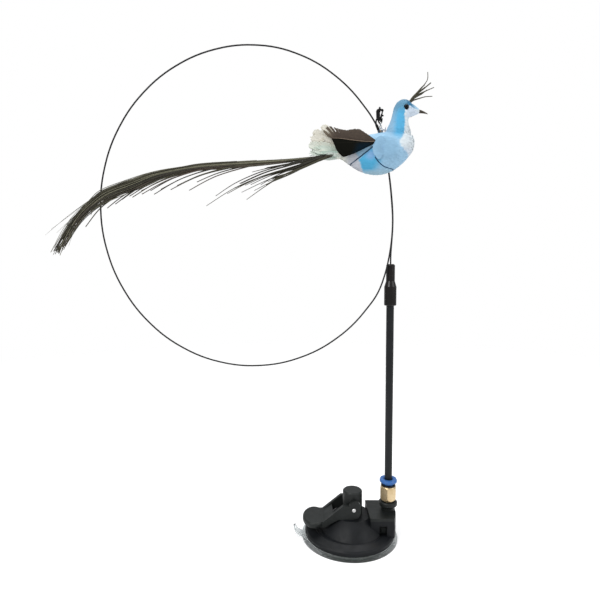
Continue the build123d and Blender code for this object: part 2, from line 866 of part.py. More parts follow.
# The ferrule is on the long straight run before the route's last two corners. The spring wire ends
# in its waist, and the end wire starts there
ferrule_foot = Vector(route[-4])
run_length = (Vector(route[-3]) - ferrule_foot).length
next_run = (Vector(route[-2]) - Vector(route[-3])).length
ferrule_way = (Vector(route[-3]) - ferrule_foot).normalized()
arc_run = arc_share * min(run_length, next_run)
ferrule_start = run_length - 2 * ferrule_l - ferrule_waist_l - arc_run - run_gap
ends_meet = ferrule_foot + ferrule_way * (ferrule_start + ferrule_l + ferrule_waist_l / 2)
spring_corners = [*route[:-3], ends_meet - ferrule_way * seat_gap / 2]
end_corners = [ends_meet + ferrule_way * seat_gap / 2, *route[-3:]]

# Spring wire: from its plug once round the loop and into the ferrule
with BuildPart() as spring_wire:
    with BuildLine() as wire_path:
        Line((tube_axis_x, 0, wire_start_z), route[0])
        FilletPolyline(*spring_corners, radius=wire_radii[:-2])
    with BuildSketch(Plane(origin=(tube_axis_x, 0, wire_start_z), z_dir=(0, 0, 1))):
        Circle(wire_r)
    sweep(path=wire_path.wires()[0])
wire_length = wire_path.wires()[0].length
print("wire length", round(wire_length, 1), "volume", round(spring_wire.part.volume, 1))
print("section times length", round(pi * wire_r**2 * wire_length, 1))
save(spring_wire, "spring_wire")

# End wire: out of the ferrule, with its small bent eye standing across the clasp's arm
with BuildPart() as end_wire:
    with BuildLine() as end_path:
        FilletPolyline(*end_corners, radius=wire_radii[-2:])
        for arc in range(eye_arcs):
            eye_points = []
            for part_way in (0, 0.5, 1):
                angle = radians(eye_turn * (arc + part_way) / eye_arcs)
                eye_points.append((clasp_x, clasp_y + eye_r * cos(angle), clasp_z + eye_r * sin(angle)))
            ThreePointArc(*eye_points)
    with BuildSketch(Plane(origin=end_corners[0], z_dir=ferrule_way)):
        Circle(wire_r)
    sweep(path=end_path.wires()[0])
save(end_wire, "end_wire")

# Ferrule: two crimped barrels with a waist, one barrel on each wire
with BuildPart() as wire_ferrule:
    bands = (
        (ferrule_start, ferrule_l, ferrule_r),
        (ferrule_start + ferrule_l, ferrule_waist_l, ferrule_waist_r),
        (ferrule_start + ferrule_l + ferrule_waist_l, ferrule_l, ferrule_r),
    )
    for up, length, radius in bands:
        base = ferrule_foot + ferrule_way * up
        with BuildSketch(Plane(origin=base, z_dir=ferrule_way)):
            Circle(radius)
            Circle(wire_r + run_gap / 2, mode=Mode.SUBTRACT)
        extrude(amount=length)
save(wire_ferrule, "wire_ferrule")


# Plunger post: goes up and down in the guide, and carries the pin
post_z = hub_top_z + hub_gap
with BuildPart() as plunger_post:
    with BuildSketch(Plane.XY.offset(post_z)):
        with Locations((post_x, 0)):
            Circle(post_r)
    extrude(amount=pin_z + post_rise - post_z)
    chamfer(plunger_post.edges().group_by(Axis.Z)[-1], post_bevel)
    with BuildSketch(Plane.XY.offset(post_z)):
        Circle(stud_stem_r + run_gap)
    extrude(amount=stud_stem_l + seat_gap + run_gap, mode=Mode.SUBTRACT)
    with BuildSketch(Plane.XZ.offset(-cheek_out)):
        with Locations((post_x, pin_z)):
            Circle(pin_r + run_gap / 2)
    extrude(amount=2 * cheek_out, mode=Mode.SUBTRACT)
save(plunger_post, "plunger_post")

# Steel pin through the post and both cheeks
pin_half_l = cheek_out + pin_end
with BuildPart() as lever_pin:
    with BuildSketch(Plane.XZ.offset(-pin_half_l)):
        with Locations((post_x, pin_z)):
            Circle(pin_r)
    extrude(amount=2 * pin_half_l)
    chamfer(lever_pin.edges().filter_by(GeomType.CIRCLE), pin_end)
save(lever_pin, "lever_pin")

# Cam edge: the support under the pin grows shorter by the same amount for each degree of turn
cam_points = []
cam_steps = 10
for step in range(cam_steps + 1):
    turned = pi / 2 * step / cam_steps
    height = cam_high - cam_step * turned
    cam_points.append(
        (
            height * sin(turned) - cam_step * cos(turned),
            -height * cos(turned) - cam_step * sin(turned),
        )
    )

# Lever: cheeks, web and paddle in one moulding, drawn from the pin outwards
ramp_slope = (shoulder_z + paddle_drop) / (ramp_toe - shoulder_out)
with BuildPart() as lever:
    with BuildSketch(Plane(origin=(post_x, -cheek_in, pin_z), x_dir=(1, 0, 0), z_dir=(0, -1, 0))):
        with BuildLine():
            Line((-belly_flat, -cam_high), cam_points[0])
            Spline(*cam_points, tangents=((1, 0), (0, 1)))
            Line(cam_points[-1], (cam_low, cam_step))
            ThreePointArc((cam_low, cam_step), (-pin_r / 2, lug_rise), (-shoulder_in, shoulder_z))
            Polyline(
                (-shoulder_in, shoulder_z),
                (-shoulder_out, shoulder_z),
                (-ramp_toe, -paddle_drop),
                (-paddle_reach, -paddle_drop),
                (-paddle_reach, -paddle_drop - paddle_t),
                (-belly_knee_low, -paddle_drop - paddle_t),
                (-belly_knee, -cam_high - belly_drop),
                (-belly_flat, -cam_high),
            )
        make_face()
        Circle(pin_r + run_gap, mode=Mode.SUBTRACT)
    extrude(amount=cheek_t)
    mirror(about=Plane.XZ)
    with BuildSketch(Plane.XY.offset(pin_z - paddle_drop)):
        with Locations((post_x - paddle_reach, 0)):
            Ellipse(paddle_half_l, paddle_half_w)
        with Locations((post_x - belly_knee_low + paddle_half_l, 0)):
            Rectangle(2 * paddle_half_l, 4 * paddle_half_w, mode=Mode.SUBTRACT)
    extrude(amount=-paddle_t)
    with BuildSketch(Plane(origin=(post_x, cheek_in + run_gap, pin_z), x_dir=(1, 0, 0), z_dir=(0, -1, 0))):
        web_top_z = shoulder_z - (web_end - shoulder_out) * ramp_slope - web_drop
        web_thick = web_t * sqrt(1 + ramp_slope**2)
        toe_top_z = -paddle_drop - web_drop
        outline_face(
            (-web_end, web_top_z),
            (-web_end, web_top_z - web_thick),
            (-ramp_toe, toe_top_z - web_thick),
            (-ramp_toe - web_t, toe_top_z - web_thick),
            (-ramp_toe - web_t, -paddle_drop - seat_gap),
            (-ramp_toe, -paddle_drop - seat_gap),
        )
    extrude(amount=2 * (cheek_in + run_gap))
    fillet(lever.edges().filter_by(GeomType.ELLIPSE), paddle_round)
save(lever, "lever")

# Claw clasp in its own upright plane, drawn from the middle of the arm
clasp_plane = Plane(origin=(clasp_x, clasp_y, clasp_z), x_dir=(1, 0, 0), z_dir=(0, -1, 0))
nose_way = Vector(trigger_nose_out - trigger_boss_out, trigger_boss_down - trigger_nose_down)
open_nose = nose_way.rotate(Axis.Z, trigger_open)
open_nose_out = trigger_boss_out + open_nose.X
open_nose_down = trigger_boss_down - open_nose.Y
with BuildPart() as clasp_body:
    with BuildSketch(clasp_plane):
        with Locations((claw_left_out, arm_h / 2 - claw_left_r)):
            Circle(claw_left_r)
        with Locations((claw_right_out, arm_h / 2 - claw_right_r)):
            Circle(claw_right_r)
        with Locations((belly_out, -belly_down)):
            Circle(belly_r)
        with Locations((tail_out, -tail_down)):
            Circle(tail_eye_r)
        make_hull()
    extrude(amount=clasp_t / 2, both=True)
    with BuildSketch(clasp_plane):
        with Locations((claw_gate_out, -claw_gate_down)):
            Circle(claw_gate_r)
        with Locations((tail_out, -tail_down)):
            Circle(tail_hole_r)
        with Locations((trigger_boss_out, -trigger_boss_down)):
            Circle(trigger_pin_r + run_gap / 2)
    extrude(amount=clasp_t, both=True, mode=Mode.SUBTRACT)
    with BuildSketch(clasp_plane) as gate_cut:
        with Locations((trigger_nose_out, -trigger_nose_down)):
            Circle(trigger_nose_r + seat_gap)
        with Locations((open_nose_out, -open_nose_down)):
            Circle(trigger_nose_r + seat_gap)
        with Locations((trigger_boss_out, -trigger_boss_down)):
            Circle(trigger_boss_r + seat_gap)
        with Locations((2 * trigger_nose_out, -trigger_nose_down), (2 * trigger_nose_out, -gate_low)):
            Circle(trigger_nose_r)
        make_hull()
    extrude(gate_cut.sketch, amount=trigger_t / 2 + seat_gap, both=True, mode=Mode.SUBTRACT)
    with BuildSketch(clasp_plane):
        add(gate_cut.sketch_local)
        with Locations((0, -gate_low - belly_r)):
            Rectangle(6 * belly_r, 2 * belly_r, mode=Mode.SUBTRACT)
    extrude(amount=clasp_t, both=True, mode=Mode.SUBTRACT)
save(clasp_body, "clasp_body")

# Clasp trigger: a sprung finger that closes the gate
with BuildPart() as clasp_trigger:
    with BuildSketch(clasp_plane):
        with Locations((trigger_nose_out, -trigger_nose_down)):
            Circle(trigger_nose_r)
        with Locations((trigger_boss_out, -trigger_boss_down)):
            Circle(trigger_boss_r)
        make_hull()
        with Locations((nub_out, -nub_down)):
            Circle(nub_r)
        with Locations((trigger_boss_out, -trigger_boss_down)):
            Circle(trigger_pin_r + run_gap, mode=Mode.SUBTRACT)
    extrude(amount=trigger_t / 2, both=True)
save(clasp_trigger, "clasp_trigger")

# Pin of the trigger
with BuildPart() as trigger_pin:
    with BuildSketch(clasp_plane):
        with Locations((trigger_boss_out, -trigger_boss_down)):
            Circle(trigger_pin_r)
    extrude(amount=clasp_t / 2 + run_gap, both=True)
save(trigger_pin, "trigger_pin")

# Ring through the clasp's tail, standing across it
with BuildPart() as bird_hanger_ring:
    with BuildSketch(Plane(origin=(ring_x, clasp_y, ring_z), z_dir=(0, 1, 0))):
        Circle(ring_wire_r)
    revolve(axis=Axis((ring_x, clasp_y, ring_z - ring_r), (1, 0, 0)))
save(bird_hanger_ring, "bird_hanger_ring")

# Hanger: a wire eye round the ring, and its stem down and forward into the bird's back
eye_mid_z = ring_z - 2 * ring_r + ring_wire_r + hanger_wire_r + hanger_play - hanger_eye_r
eye_low_z = eye_mid_z - hanger_eye_r
stem_bend = Vector(ring_x, clasp_y, eye_low_z - hanger_drop)
stem_end = Vector(ring_x + hanger_end_ahead, bird_y, body_mid_z + hanger_end_up)
stem_way = (stem_end - stem_bend).normalized()
with BuildPart() as bird_hanger:
    with BuildLine() as stem_path:
        FilletPolyline(
            (ring_x, clasp_y, eye_low_z),
            stem_bend,
            stem_end,
            radius=hanger_bend_r,
        )
    with BuildSketch(Plane(origin=(ring_x, clasp_y, eye_low_z), z_dir=(0, 0, -1))):
        Circle(hanger_wire_r)
    sweep(path=stem_path.wires()[0])
    with BuildSketch(Plane(origin=(ring_x, clasp_y, eye_low_z), z_dir=(1, 0, 0))):
        Circle(hanger_wire_r)
    revolve(axis=Axis((ring_x, clasp_y, eye_mid_z), (0, 1, 0)))
save(bird_hanger, "bird_hanger")

# Neck wire: stiffens the neck from the breast to the head
with BuildPart() as neck_wire:
    neck_places = [(x, bird_y, z) for x, z in neck_wire_path]
    with BuildLine() as neck_line:
        FilletPolyline(*neck_places, radius=neck_wire_bend_r)
    with BuildSketch(Plane(origin=neck_places[0], z_dir=(1, 0, 0))):
        Circle(neck_wire_r)
    sweep(path=neck_line.wires()[0])
save(neck_wire, "neck_wire")

# Binding: a short wrap of thread round the hanger's stem, below its bend
with BuildPart() as hanger_binding:
    with BuildSketch(Plane(origin=stem_bend + stem_way * hanger_bend_r, z_dir=stem_way)):
        Circle(binding_r)
        Circle(hanger_wire_r + run_gap / 2, mode=Mode.SUBTRACT)
    extrude(amount=binding_l)
save(hanger_binding, "hanger_binding")


def soft_form(cuts, shape=oval):
    """A loft through ovals: each a middle, the way it faces, its level axis, and two half sizes."""
    faces = []
    for middle, facing, level, half_level, half_up in cuts:
        with BuildSketch(Plane(origin=middle, x_dir=level, z_dir=facing)) as cut:
            shape(half_level, half_up)
        faces.append(cut.sketch.faces()[0])
    loft(faces)


def body_form(proud):
    """The body's form, made fuller all round by the given amount."""
    cuts = []
    for along, rise, half_up, half_level in body_shares:
        place = (body_back_x + body_len * along, bird_y, body_mid_z + body_half_h * rise)
        half_w = body_half_w * half_level + proud
        cuts.append((place, (1, 0, 0), (0, 1, 0), half_w, body_half_h * half_up + proud))
    soft_form(cuts)


# Bird's body: feathered, high in the breast and narrow at the back
with BuildPart() as bird_body:
    body_form(0)
    for other in (bird_hanger, neck_wire):
        add(other.part, mode=Mode.SUBTRACT)
save(bird_body, "bird_body")

# Threads under the belly: each the part of a fuller body that lies in a thin leaning slice
for word, low, high in thread_shares:
    with BuildPart() as thread:
        body_form(thread_proud)
        thread_low = Vector(body_back_x + body_len * low[0], bird_y, body_mid_z + body_half_h * low[1])
        thread_high = Vector(body_back_x + body_len * high[0], bird_y, body_mid_z + body_half_h * high[1])
        thread_way = thread_high - thread_low
        with BuildSketch(Plane(origin=thread_low, x_dir=thread_way, z_dir=(0, -1, 0))):
            with Locations((thread_way.length / 2 - thread_under / 2, 0)):
                Rectangle(thread_way.length + thread_under, thread_w)
        extrude(amount=body_len, both=True, mode=Mode.INTERSECT)
        add(bird_body.part, mode=Mode.SUBTRACT)
    save(thread, "thread_" + word)

# Eyes: two black beads, of which the outer part shows
with BuildPart() as eye_right:
    with Locations((eye_bead_x, bird_y - eye_bead_out, eye_bead_z)):
        Sphere(eye_bead_r)
save(eye_right, "eye_right")
with BuildPart() as eye_left:
    with Locations((eye_bead_x, bird_y + eye_bead_out, eye_bead_z)):
        Sphere(eye_bead_r)
save(eye_left, "eye_left")

# Neck and head, with the face drawn out to the beak
beak_base_x = face_x + face_len
beak_base_z = face_z - beak_dip
with BuildPart() as bird_head:
    neck_cuts = []
    for up, ahead, half_len, half_level in neck_shares:
        place = (neck_base_x + neck_half_w * ahead, bird_y, neck_base_z + neck_h_len * up)
        neck_cuts.append((place, (0, 0, 1), (1, 0, 0), neck_half_w * half_len, neck_half_w * half_level))
    soft_form(neck_cuts)
    face_cuts = []
    for along, fullness in face_shares:
        place = (face_x + face_len * along, bird_y, face_z - beak_dip * along)
        face_cuts.append((place, (1, 0, 0), (0, 1, 0), face_r * fullness, face_r * fullness))
    soft_form(face_cuts)
    for other in (bird_body, bird_hanger, neck_wire, eye_right, eye_left):
        add(other.part, mode=Mode.SUBTRACT)
save(bird_head, "bird_head")

# Beak: a slightly drooping cone
with BuildPart() as beak:
    beak_cuts = []
    for along, dip, fullness in beak_shares:
        place = (beak_base_x + beak_len * along, bird_y, beak_base_z - beak_dip * dip)
        beak_cuts.append((place, (1, 0, 0), (0, 1, 0), beak_r * fullness, beak_r * fullness))
    soft_form(beak_cuts)
    add(bird_head.part, mode=Mode.SUBTRACT)
save(beak, "beak")

# Crest: four thin strands from one root on the crown
with BuildPart() as crest:
    for lean, share in crest_shares:
        crest_way = Vector(cos(radians(lean)), 0, sin(radians(lean)))
        crest_root = Vector(crest_x, bird_y, crest_z)
        crest_cuts = []
        for reach, radius in ((0, crest_base_r), (crest_len * share, crest_tip_r)):
            middle = crest_root + crest_way * reach
            crest_cuts.append((middle, crest_way, (0, 1, 0), radius, radius))
        soft_form(crest_cuts)
    add(bird_head.part, mode=Mode.SUBTRACT)
save(crest, "crest")


def wing_feather(side, shares, boss):
    """One flat feather beside the body, with the boss that fixes it, in the active part."""
    root = (wing_root_x, bird_y + side * wing_root_out, wing_root_z)
    back = (-wing_len, -side * wing_tuck, 0)
    plane = Plane(origin=root, x_dir=back, z_dir=(-side * wing_tuck, wing_len, 0))
    with BuildSketch(plane) as vane:
        outline_face(*[(wing_len * along, wing_h * up) for along, up in shares])
    extrude(vane.sketch, amount=feather_t / 2, both=True)
    with BuildSketch(plane) as fixing:
        with Locations((wing_len * boss[0], wing_h * boss[1])):
            Circle(wing_boss_r)
    extrude(fixing.sketch, amount=-side * wing_boss_l)
    add(bird_body.part, mode=Mode.SUBTRACT)


# Wings: a brown feather above a black one on each side
for side, word in ((-1, "right"), (1, "left")):
    with BuildPart() as brown_feather:
        wing_feather(side, brown_shares, brown_boss)
    save(brown_feather, "wing_brown_" + word)
    with BuildPart() as black_feather:
        wing_feather(side, black_shares, black_boss)
    save(black_feather, "wing_black_" + word)


def trailing_cuts(root_x, root_z, length, fall, half_h, half_w, across_y, shares):
    """Ovals for a form that trails backward: share of length, of fall, of half height and width."""
    cuts = []
    for along, down, half_up, half_level in shares:
        place = (root_x - length * along, across_y, root_z - fall * down)
        cuts.append((place, (-1, 0, 0), (0, 1, 0), half_w * half_level, half_h * half_up))
    return cuts


# Pale feathers at the rump
with BuildPart() as rump_feathers:
    soft_form(
        trailing_cuts(
            rump_root_x,
            rump_root_z,
            rump_len,
            -rump_half_h,
            rump_half_h,
            rump_half_w,
            bird_y,
            rump_shares,
        )
    )
    add(bird_body.part, mode=Mode.SUBTRACT)
save(rump_feathers, "rump_feathers")

# Long tail strands, as one thin drooping blade
with BuildPart() as tail_main:
    soft_form(
        trailing_cuts(
            tail_root_x,
            tail_root_z,
            tail_len,
            tail_drop,
            tail_half_h,
            tail_half_w,
            bird_y + tail_apart,
            tail_shares,
        ),
        leaf,
    )
    add(rump_feathers.part, mode=Mode.SUBTRACT)
save(tail_main, "tail_main")

# Shorter strands beside them
with BuildPart() as tail_side:
    soft_form(
        trailing_cuts(
            side_root_x,
            side_root_z,
            side_len,
            side_drop,
            side_half_h,
            side_half_w,
            bird_y - tail_apart,
            side_shares,
        ),
        leaf,
    )
    add(rump_feathers.part, mode=Mode.SUBTRACT)
save(tail_side, "tail_side")
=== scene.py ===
import math
import random

import bmesh
import bpy
from mathutils import Matrix, Vector, noise
from mathutils.bvhtree import BVHTree


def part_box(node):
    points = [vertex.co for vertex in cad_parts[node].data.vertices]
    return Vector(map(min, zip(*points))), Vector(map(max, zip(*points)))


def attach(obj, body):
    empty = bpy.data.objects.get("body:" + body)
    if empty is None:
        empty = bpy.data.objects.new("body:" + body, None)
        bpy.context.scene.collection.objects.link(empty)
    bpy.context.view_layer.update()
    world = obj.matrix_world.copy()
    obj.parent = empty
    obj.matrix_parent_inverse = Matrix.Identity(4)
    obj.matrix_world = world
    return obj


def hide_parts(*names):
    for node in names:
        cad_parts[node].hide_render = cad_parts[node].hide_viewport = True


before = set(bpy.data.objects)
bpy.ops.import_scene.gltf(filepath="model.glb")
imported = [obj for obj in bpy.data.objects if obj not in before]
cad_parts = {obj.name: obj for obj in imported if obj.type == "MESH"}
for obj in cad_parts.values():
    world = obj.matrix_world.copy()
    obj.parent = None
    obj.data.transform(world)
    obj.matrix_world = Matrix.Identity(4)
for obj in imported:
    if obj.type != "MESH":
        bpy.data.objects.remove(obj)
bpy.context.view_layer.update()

# Pieces and camera are placed in millimetres in the part's frame, and lamps and floor in metres.
# The bird hangs in the plane of BIRD_Y, nearer to the camera than the wires.
MM = 0.001
BIRD_Y = -15.0
NEAR = -1
FAR = 1

# draw(low, high) takes the next random number between two bounds
picker = random.Random(11)
draw = picker.uniform


# Colours and materials

def srgb(red, green, blue):
    """A colour written as it looks on the screen, as the linear numbers that a shader takes."""
    linear = []
    for value in (red, green, blue):
        share = value / 255
        linear.append(share / 12.92 if share <= 0.04045 else ((share + 0.055) / 1.055) ** 2.4)
    return (*linear, 1.0)


def feed(tree, node, inputs):
    """The node's inputs, each linked to another node's output or set to a plain value."""
    for key, value in inputs.items():
        if isinstance(value, bpy.types.NodeSocket):
            tree.links.new(value, node.inputs[key])
        else:
            node.inputs[key].default_value = value


def add_node(tree, kind, inputs, **settings):
    """A new shader node with its settings and its inputs."""
    node = tree.nodes.new("ShaderNode" + kind)
    for name, value in settings.items():
        setattr(node, name, value)
    feed(tree, node, inputs)
    return node


def principled(name):
    """A new material with its node tree and its shader."""
    material = bpy.data.materials.new(name)
    material.use_nodes = True
    return material, material.node_tree, material.node_tree.nodes["Principled BSDF"]


def object_place(tree):
    """The place on a piece in the object's own metres."""
    return add_node(tree, "TexCoord", {}).outputs["Object"]


def noise_at(tree, scale, detail=4.0, stretch=(1, 1, 1)):
    """Noise in the object's own metres, stretched along an axis where it is asked to."""
    mapped = add_node(tree, "Mapping", {"Vector": object_place(tree), "Scale": stretch})
    inputs = {"Vector": mapped.outputs["Vector"], "Scale": scale, "Detail": detail}
    return add_node(tree, "TexNoise", inputs).outputs["Fac"]


def spread(tree, factor, low, high):
    """The middle stretch of a noise, drawn out to run from low to high."""
    inputs = {"Value": factor, "From Min": 0.3, "From Max": 0.7, "To Min": low, "To Max": high}
    return add_node(tree, "MapRange", inputs).outputs["Result"]


def blend_colours(tree, factor, first, second):
    """Two colours, each linked or plain, mixed by a factor."""
    return add_node(tree, "Mix", {0: factor, 6: first, 7: second}, data_type="RGBA").outputs[2]


def cloudy(tree, scale, first, second):
    """Two colours in soft clouds."""
    return blend_colours(tree, spread(tree, noise_at(tree, scale), 0, 1), first, second)


def bump(tree, height, strength, distance):
    """A normal that is bumped by a height."""
    inputs = {"Height": height, "Strength": strength, "Distance": distance}
    return add_node(tree, "Bump", inputs).outputs["Normal"]


def moulded(name, light, dark, rough, grain=2600, relief=0.00004, specular=0.5):
    """Moulded plastic or coating: cloudy colour, fine grain, and a little variation in gloss."""
    material, tree, shader = principled(name)
    feed(tree, shader, {
        "Base Color": cloudy(tree, 90, srgb(*dark), srgb(*light)),
        "Roughness": spread(tree, noise_at(tree, 220), *rough),
        "Specular IOR Level": specular,
        "Normal": bump(tree, noise_at(tree, grain, detail=2.0), strength=0.5, distance=relief)})
    return material


def metal(name, light, dark, rough, stretch, metallic):
    """Bare metal with faint drawn or turned lines."""
    material, tree, shader = principled(name)
    lines = noise_at(tree, 900, detail=3.0, stretch=stretch)
    feed(tree, shader, {
        "Metallic": metallic,
        "Base Color": cloudy(tree, 160, srgb(*dark), srgb(*light)),
        "Roughness": spread(tree, lines, *rough),
        "Normal": bump(tree, lines, strength=0.25, distance=0.00003)})
    return material


def plumage(name, rough, sheen, streak, scale=700, specular=0.25):
    """Feather: the piece's own tint, broken by fine streaks that run along the bird."""
    material, tree, shader = principled(name)
    tint = add_node(tree, "Attribute", {}, attribute_name="tint").outputs["Color"]
    darker = add_node(tree, "HueSaturation", {"Value": 1.0 - streak, "Color": tint}).outputs["Color"]
    streaks = noise_at(tree, scale, detail=3.0, stretch=(0.35, 1, 1))
    feed(tree, shader, {
        "Base Color": blend_colours(tree, spread(tree, streaks, 0, 1), tint, darker),
        "Roughness": rough,
        "Sheen Weight": sheen,
        "Sheen Roughness": 0.4,
        "Specular IOR Level": specular,
        "Normal": bump(tree, streaks, strength=0.3, distance=0.00008)})
    return material


def clear_rubber():
    """Clear soft plastic of the pad, slightly cloudy, with painted shade that darkens its front rim."""
    material, tree, shader = principled("clear_rubber")
    clear = cloudy(tree, 60, srgb(240, 243, 243), srgb(222, 227, 228))
    # Painted shade: the rim darkens towards the camera, standing for the dark flange seen through it. The
    # factor runs from 0 at the front to 1 further back.
    depth = add_node(tree, "SeparateXYZ", {0: object_place(tree)}).outputs["Y"]
    inputs = {"Value": depth, "From Min": -0.038, "From Max": -0.022}
    painted_shade_fade = add_node(tree, "MapRange", inputs, interpolation_type="SMOOTHSTEP").outputs["Result"]
    feed(tree, shader, {
        "Base Color": blend_colours(tree, painted_shade_fade, srgb(118, 126, 122), clear),
        "Roughness": spread(tree, noise_at(tree, 240), 0.06, 0.14),
        "Transmission Weight": 0.9,
        "IOR": 1.47,
        "Normal": bump(tree, noise_at(tree, 500, detail=2.0), strength=0.2, distance=0.00005)})
    return material


black_plastic = moulded("black_plastic", (31, 34, 33), (21, 24, 23), (0.36, 0.5), specular=0.28)
# Painted shade: the housing wears a darker, duller copy of the black plastic, for the shade on its low
# flange and dome.
housing_black_painted_shade = moulded("housing_black_painted_shade", (22, 24, 27), (13, 15, 17), (0.4, 0.54), specular=0.2)
gloss_black = moulded("gloss_black", (22, 18, 16), (13, 11, 10), (0.22, 0.3), specular=0.32)
tube_black = moulded("tube_black", (23, 26, 28), (16, 18, 20), (0.34, 0.44), grain=1500, specular=0.28)
wire_black = moulded("wire_black", (24, 24, 25), (14, 14, 15), (0.34, 0.46), grain=1800, specular=0.25)
clasp_black = moulded("clasp_black", (17, 17, 18), (10, 10, 11), (0.3, 0.42), grain=1500, specular=0.25)
seal_rubber = moulded("seal_rubber", (26, 26, 27), (18, 18, 19), (0.6, 0.75))
collar_blue = moulded("collar_blue", (60, 110, 176), (44, 92, 158), (0.28, 0.38), grain=1400, specular=0.4)
brass = metal("fitting_brass", (226, 203, 163), (202, 176, 133), (0.24, 0.38), (1, 1, 10), 0.75)
steel = metal("bright_steel", (222, 222, 220), (188, 188, 187), (0.22, 0.34), (1, 1, 14), 1.0)
beak_horn = moulded("beak_horn", (78, 71, 60), (44, 39, 34), (0.45, 0.6), grain=1200, specular=0.2)
eye_black = moulded("eye_black", (5, 9, 16), (2, 4, 8), (0.26, 0.34), relief=0.000005, specular=0.14)
binding_tan = moulded("binding_tan", (196, 168, 124), (150, 122, 84), (0.7, 0.85), specular=0.2)
thread_dark = moulded("thread_dark", (44, 84, 118), (28, 54, 78), (0.6, 0.8), specular=0.2)
soft_feather = plumage("soft_feather", 0.85, 0.2, 0.08)
vane_feather = plumage("vane_feather", 0.6, 0.1, 0.22, 1100)
dark_vane = plumage("dark_vane", 0.75, 0.0, 0.25, 1100, 0.06)
tail_feather = plumage("tail_feather", 0.7, 0.1, 0.25, 900)

# The CAD nodes that the scene keeps, after the material that they wear
worn_by = (
    (clear_rubber(), "suction_pad"),
    (housing_black_painted_shade, "housing"),
    (black_plastic, "pad_stud", "adapter", "plunger_post", "lever", "wire_plug"),
    (steel, "lever_pin", "grab_ring", "bird_hanger_ring", "bird_hanger", "neck_wire"),
    (brass, "fitting_body"),
    (seal_rubber, "o_ring"),
    (gloss_black, "retainer_ring", "wand_sleeve"),
    (collar_blue, "release_collar"),
    (tube_black, "wand_tube"),
    (wire_black, "spring_wire", "end_wire"),
    (clasp_black, "wire_ferrule", "clasp_body", "clasp_trigger", "trigger_pin"),
    (eye_black, "eye_right", "eye_left"),
    (beak_horn, "beak"),
)
for worn, *wearers in worn_by:
    for wearer in wearers:
        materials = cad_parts[wearer].data.materials
        materials.clear()
        materials.append(worn)


# Pieces made of many small parts

def show(name, data):
    """A new object in the scene."""
    made = bpy.data.objects.new(name, data)
    bpy.context.scene.collection.objects.link(made)
    return made


def dress(mesh, material, tints):
    """The mesh shaded smooth, with its material and a tint for each point."""
    mesh.materials.clear()
    mesh.materials.append(material)
    colours = mesh.color_attributes.new("tint", "FLOAT_COLOR", "POINT")
    for point, tint in zip(colours.data, tints):
        point.color = (*tint[:3], 1.0)
    for polygon in mesh.polygons:
        polygon.use_smooth = True


class Pile:
    """Points, faces and tints of many small parts that become one piece."""

    def __init__(self):
        self.points = []
        self.faces = []
        self.tints = []

    def add(self, points, faces, tint):
        """One part, with one tint or a list of one for each point."""
        base = len(self.points)
        self.points += [Vector(point) * MM for point in points]
        self.faces += [tuple(base + corner for corner in face) for face in faces]
        self.tints += tint if isinstance(tint, list) else [tint] * len(points)

    def piece(self, name, material, slot, node=None):
        """The piece itself, riding on the bird, and the node that it replaces."""
        mesh = bpy.data.meshes.new(name)
        mesh.from_pydata(self.points, [], self.faces)
        dress(mesh, material, self.tints)
        made = show(name, mesh)
        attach(made, "bird")
        if node:
            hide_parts(node)


def smooth_path(corners, steps):
    """Points on a smooth line through the corners, the same number between each two."""
    places = [Vector(corner) for corner in corners]
    padded = [places[0], *places, places[-1]]
    path = []
    for before, start, end, after in zip(padded, padded[1:], padded[2:], padded[3:]):
        for step in range(steps):
            t = step / steps
            path.append(0.5 * (
                2 * start + (end - before) * t
                + (2 * before - 5 * start + 4 * end - after) * t * t
                + (3 * start - before - 3 * end + after) * t ** 3))
    path.append(places[-1])
    return path


def plane_path(places, steps):
    """A smooth line through pairs of x and z."""
    return smooth_path([(x, 0, z) for x, z in places], steps)


def length_of(path):
    """The length along a path."""
    return sum((end - start).length for start, end in zip(path, path[1:]))


def walk(path, first, step):
    """Places along a path, each with its direction and its share of the length, a step() apart."""
    total = length_of(path)
    left = first
    travelled = 0.0
    for start, end in zip(path, path[1:]):
        length = (end - start).length
        way = (end - start) / length
        while left < length:
            yield start + way * left, way, (travelled + left) / total
            left += step()
        left -= length
        travelled += length


def strand(pile, path, thick, thin, tint, sides=4, swell=None):
    """A tapered rod along a path, whose radius runs from thick to thin."""
    points = []
    faces = []
    last = len(path) - 1
    across = None
    for index, place in enumerate(path):
        way = (path[min(index + 1, last)] - path[max(index - 1, 0)]).normalized()
        if across is None:
            across = way.orthogonal().normalized()
        across = (across - way * across.dot(way)).normalized()
        other = way.cross(across)
        share = index / last
        radius = thick + (thin - thick) * share
        if swell:
            radius *= swell(share)
        for side in range(sides):
            angle = 2 * math.pi * side / sides
            points.append(place + (across * math.cos(angle) + other * math.sin(angle)) * radius)
    for ring in range(0, last * sides, sides):
        for side in range(sides):
            after = (side + 1) % sides
            faces.append((ring + side, ring + after, ring + sides + after, ring + sides + side))
    faces.append(tuple(range(sides))[::-1])
    faces.append(tuple(last * sides + side for side in range(sides)))
    pile.add(points, faces, tint)


def ribbon(pile, path, widths, normal, tint):
    """A flat strip along a path, lying square to the normal."""
    points = []
    last = len(path) - 1
    for index, place in enumerate(path):
        way = (path[min(index + 1, last)] - path[max(index - 1, 0)]).normalized()
        aside = way.cross(normal).normalized() * widths[index] / 2
        points += [place - aside, place + aside]
    faces = [(2 * index, 2 * index + 1, 2 * index + 3, 2 * index + 2) for index in range(last)]
    pile.add(points, faces, tint)


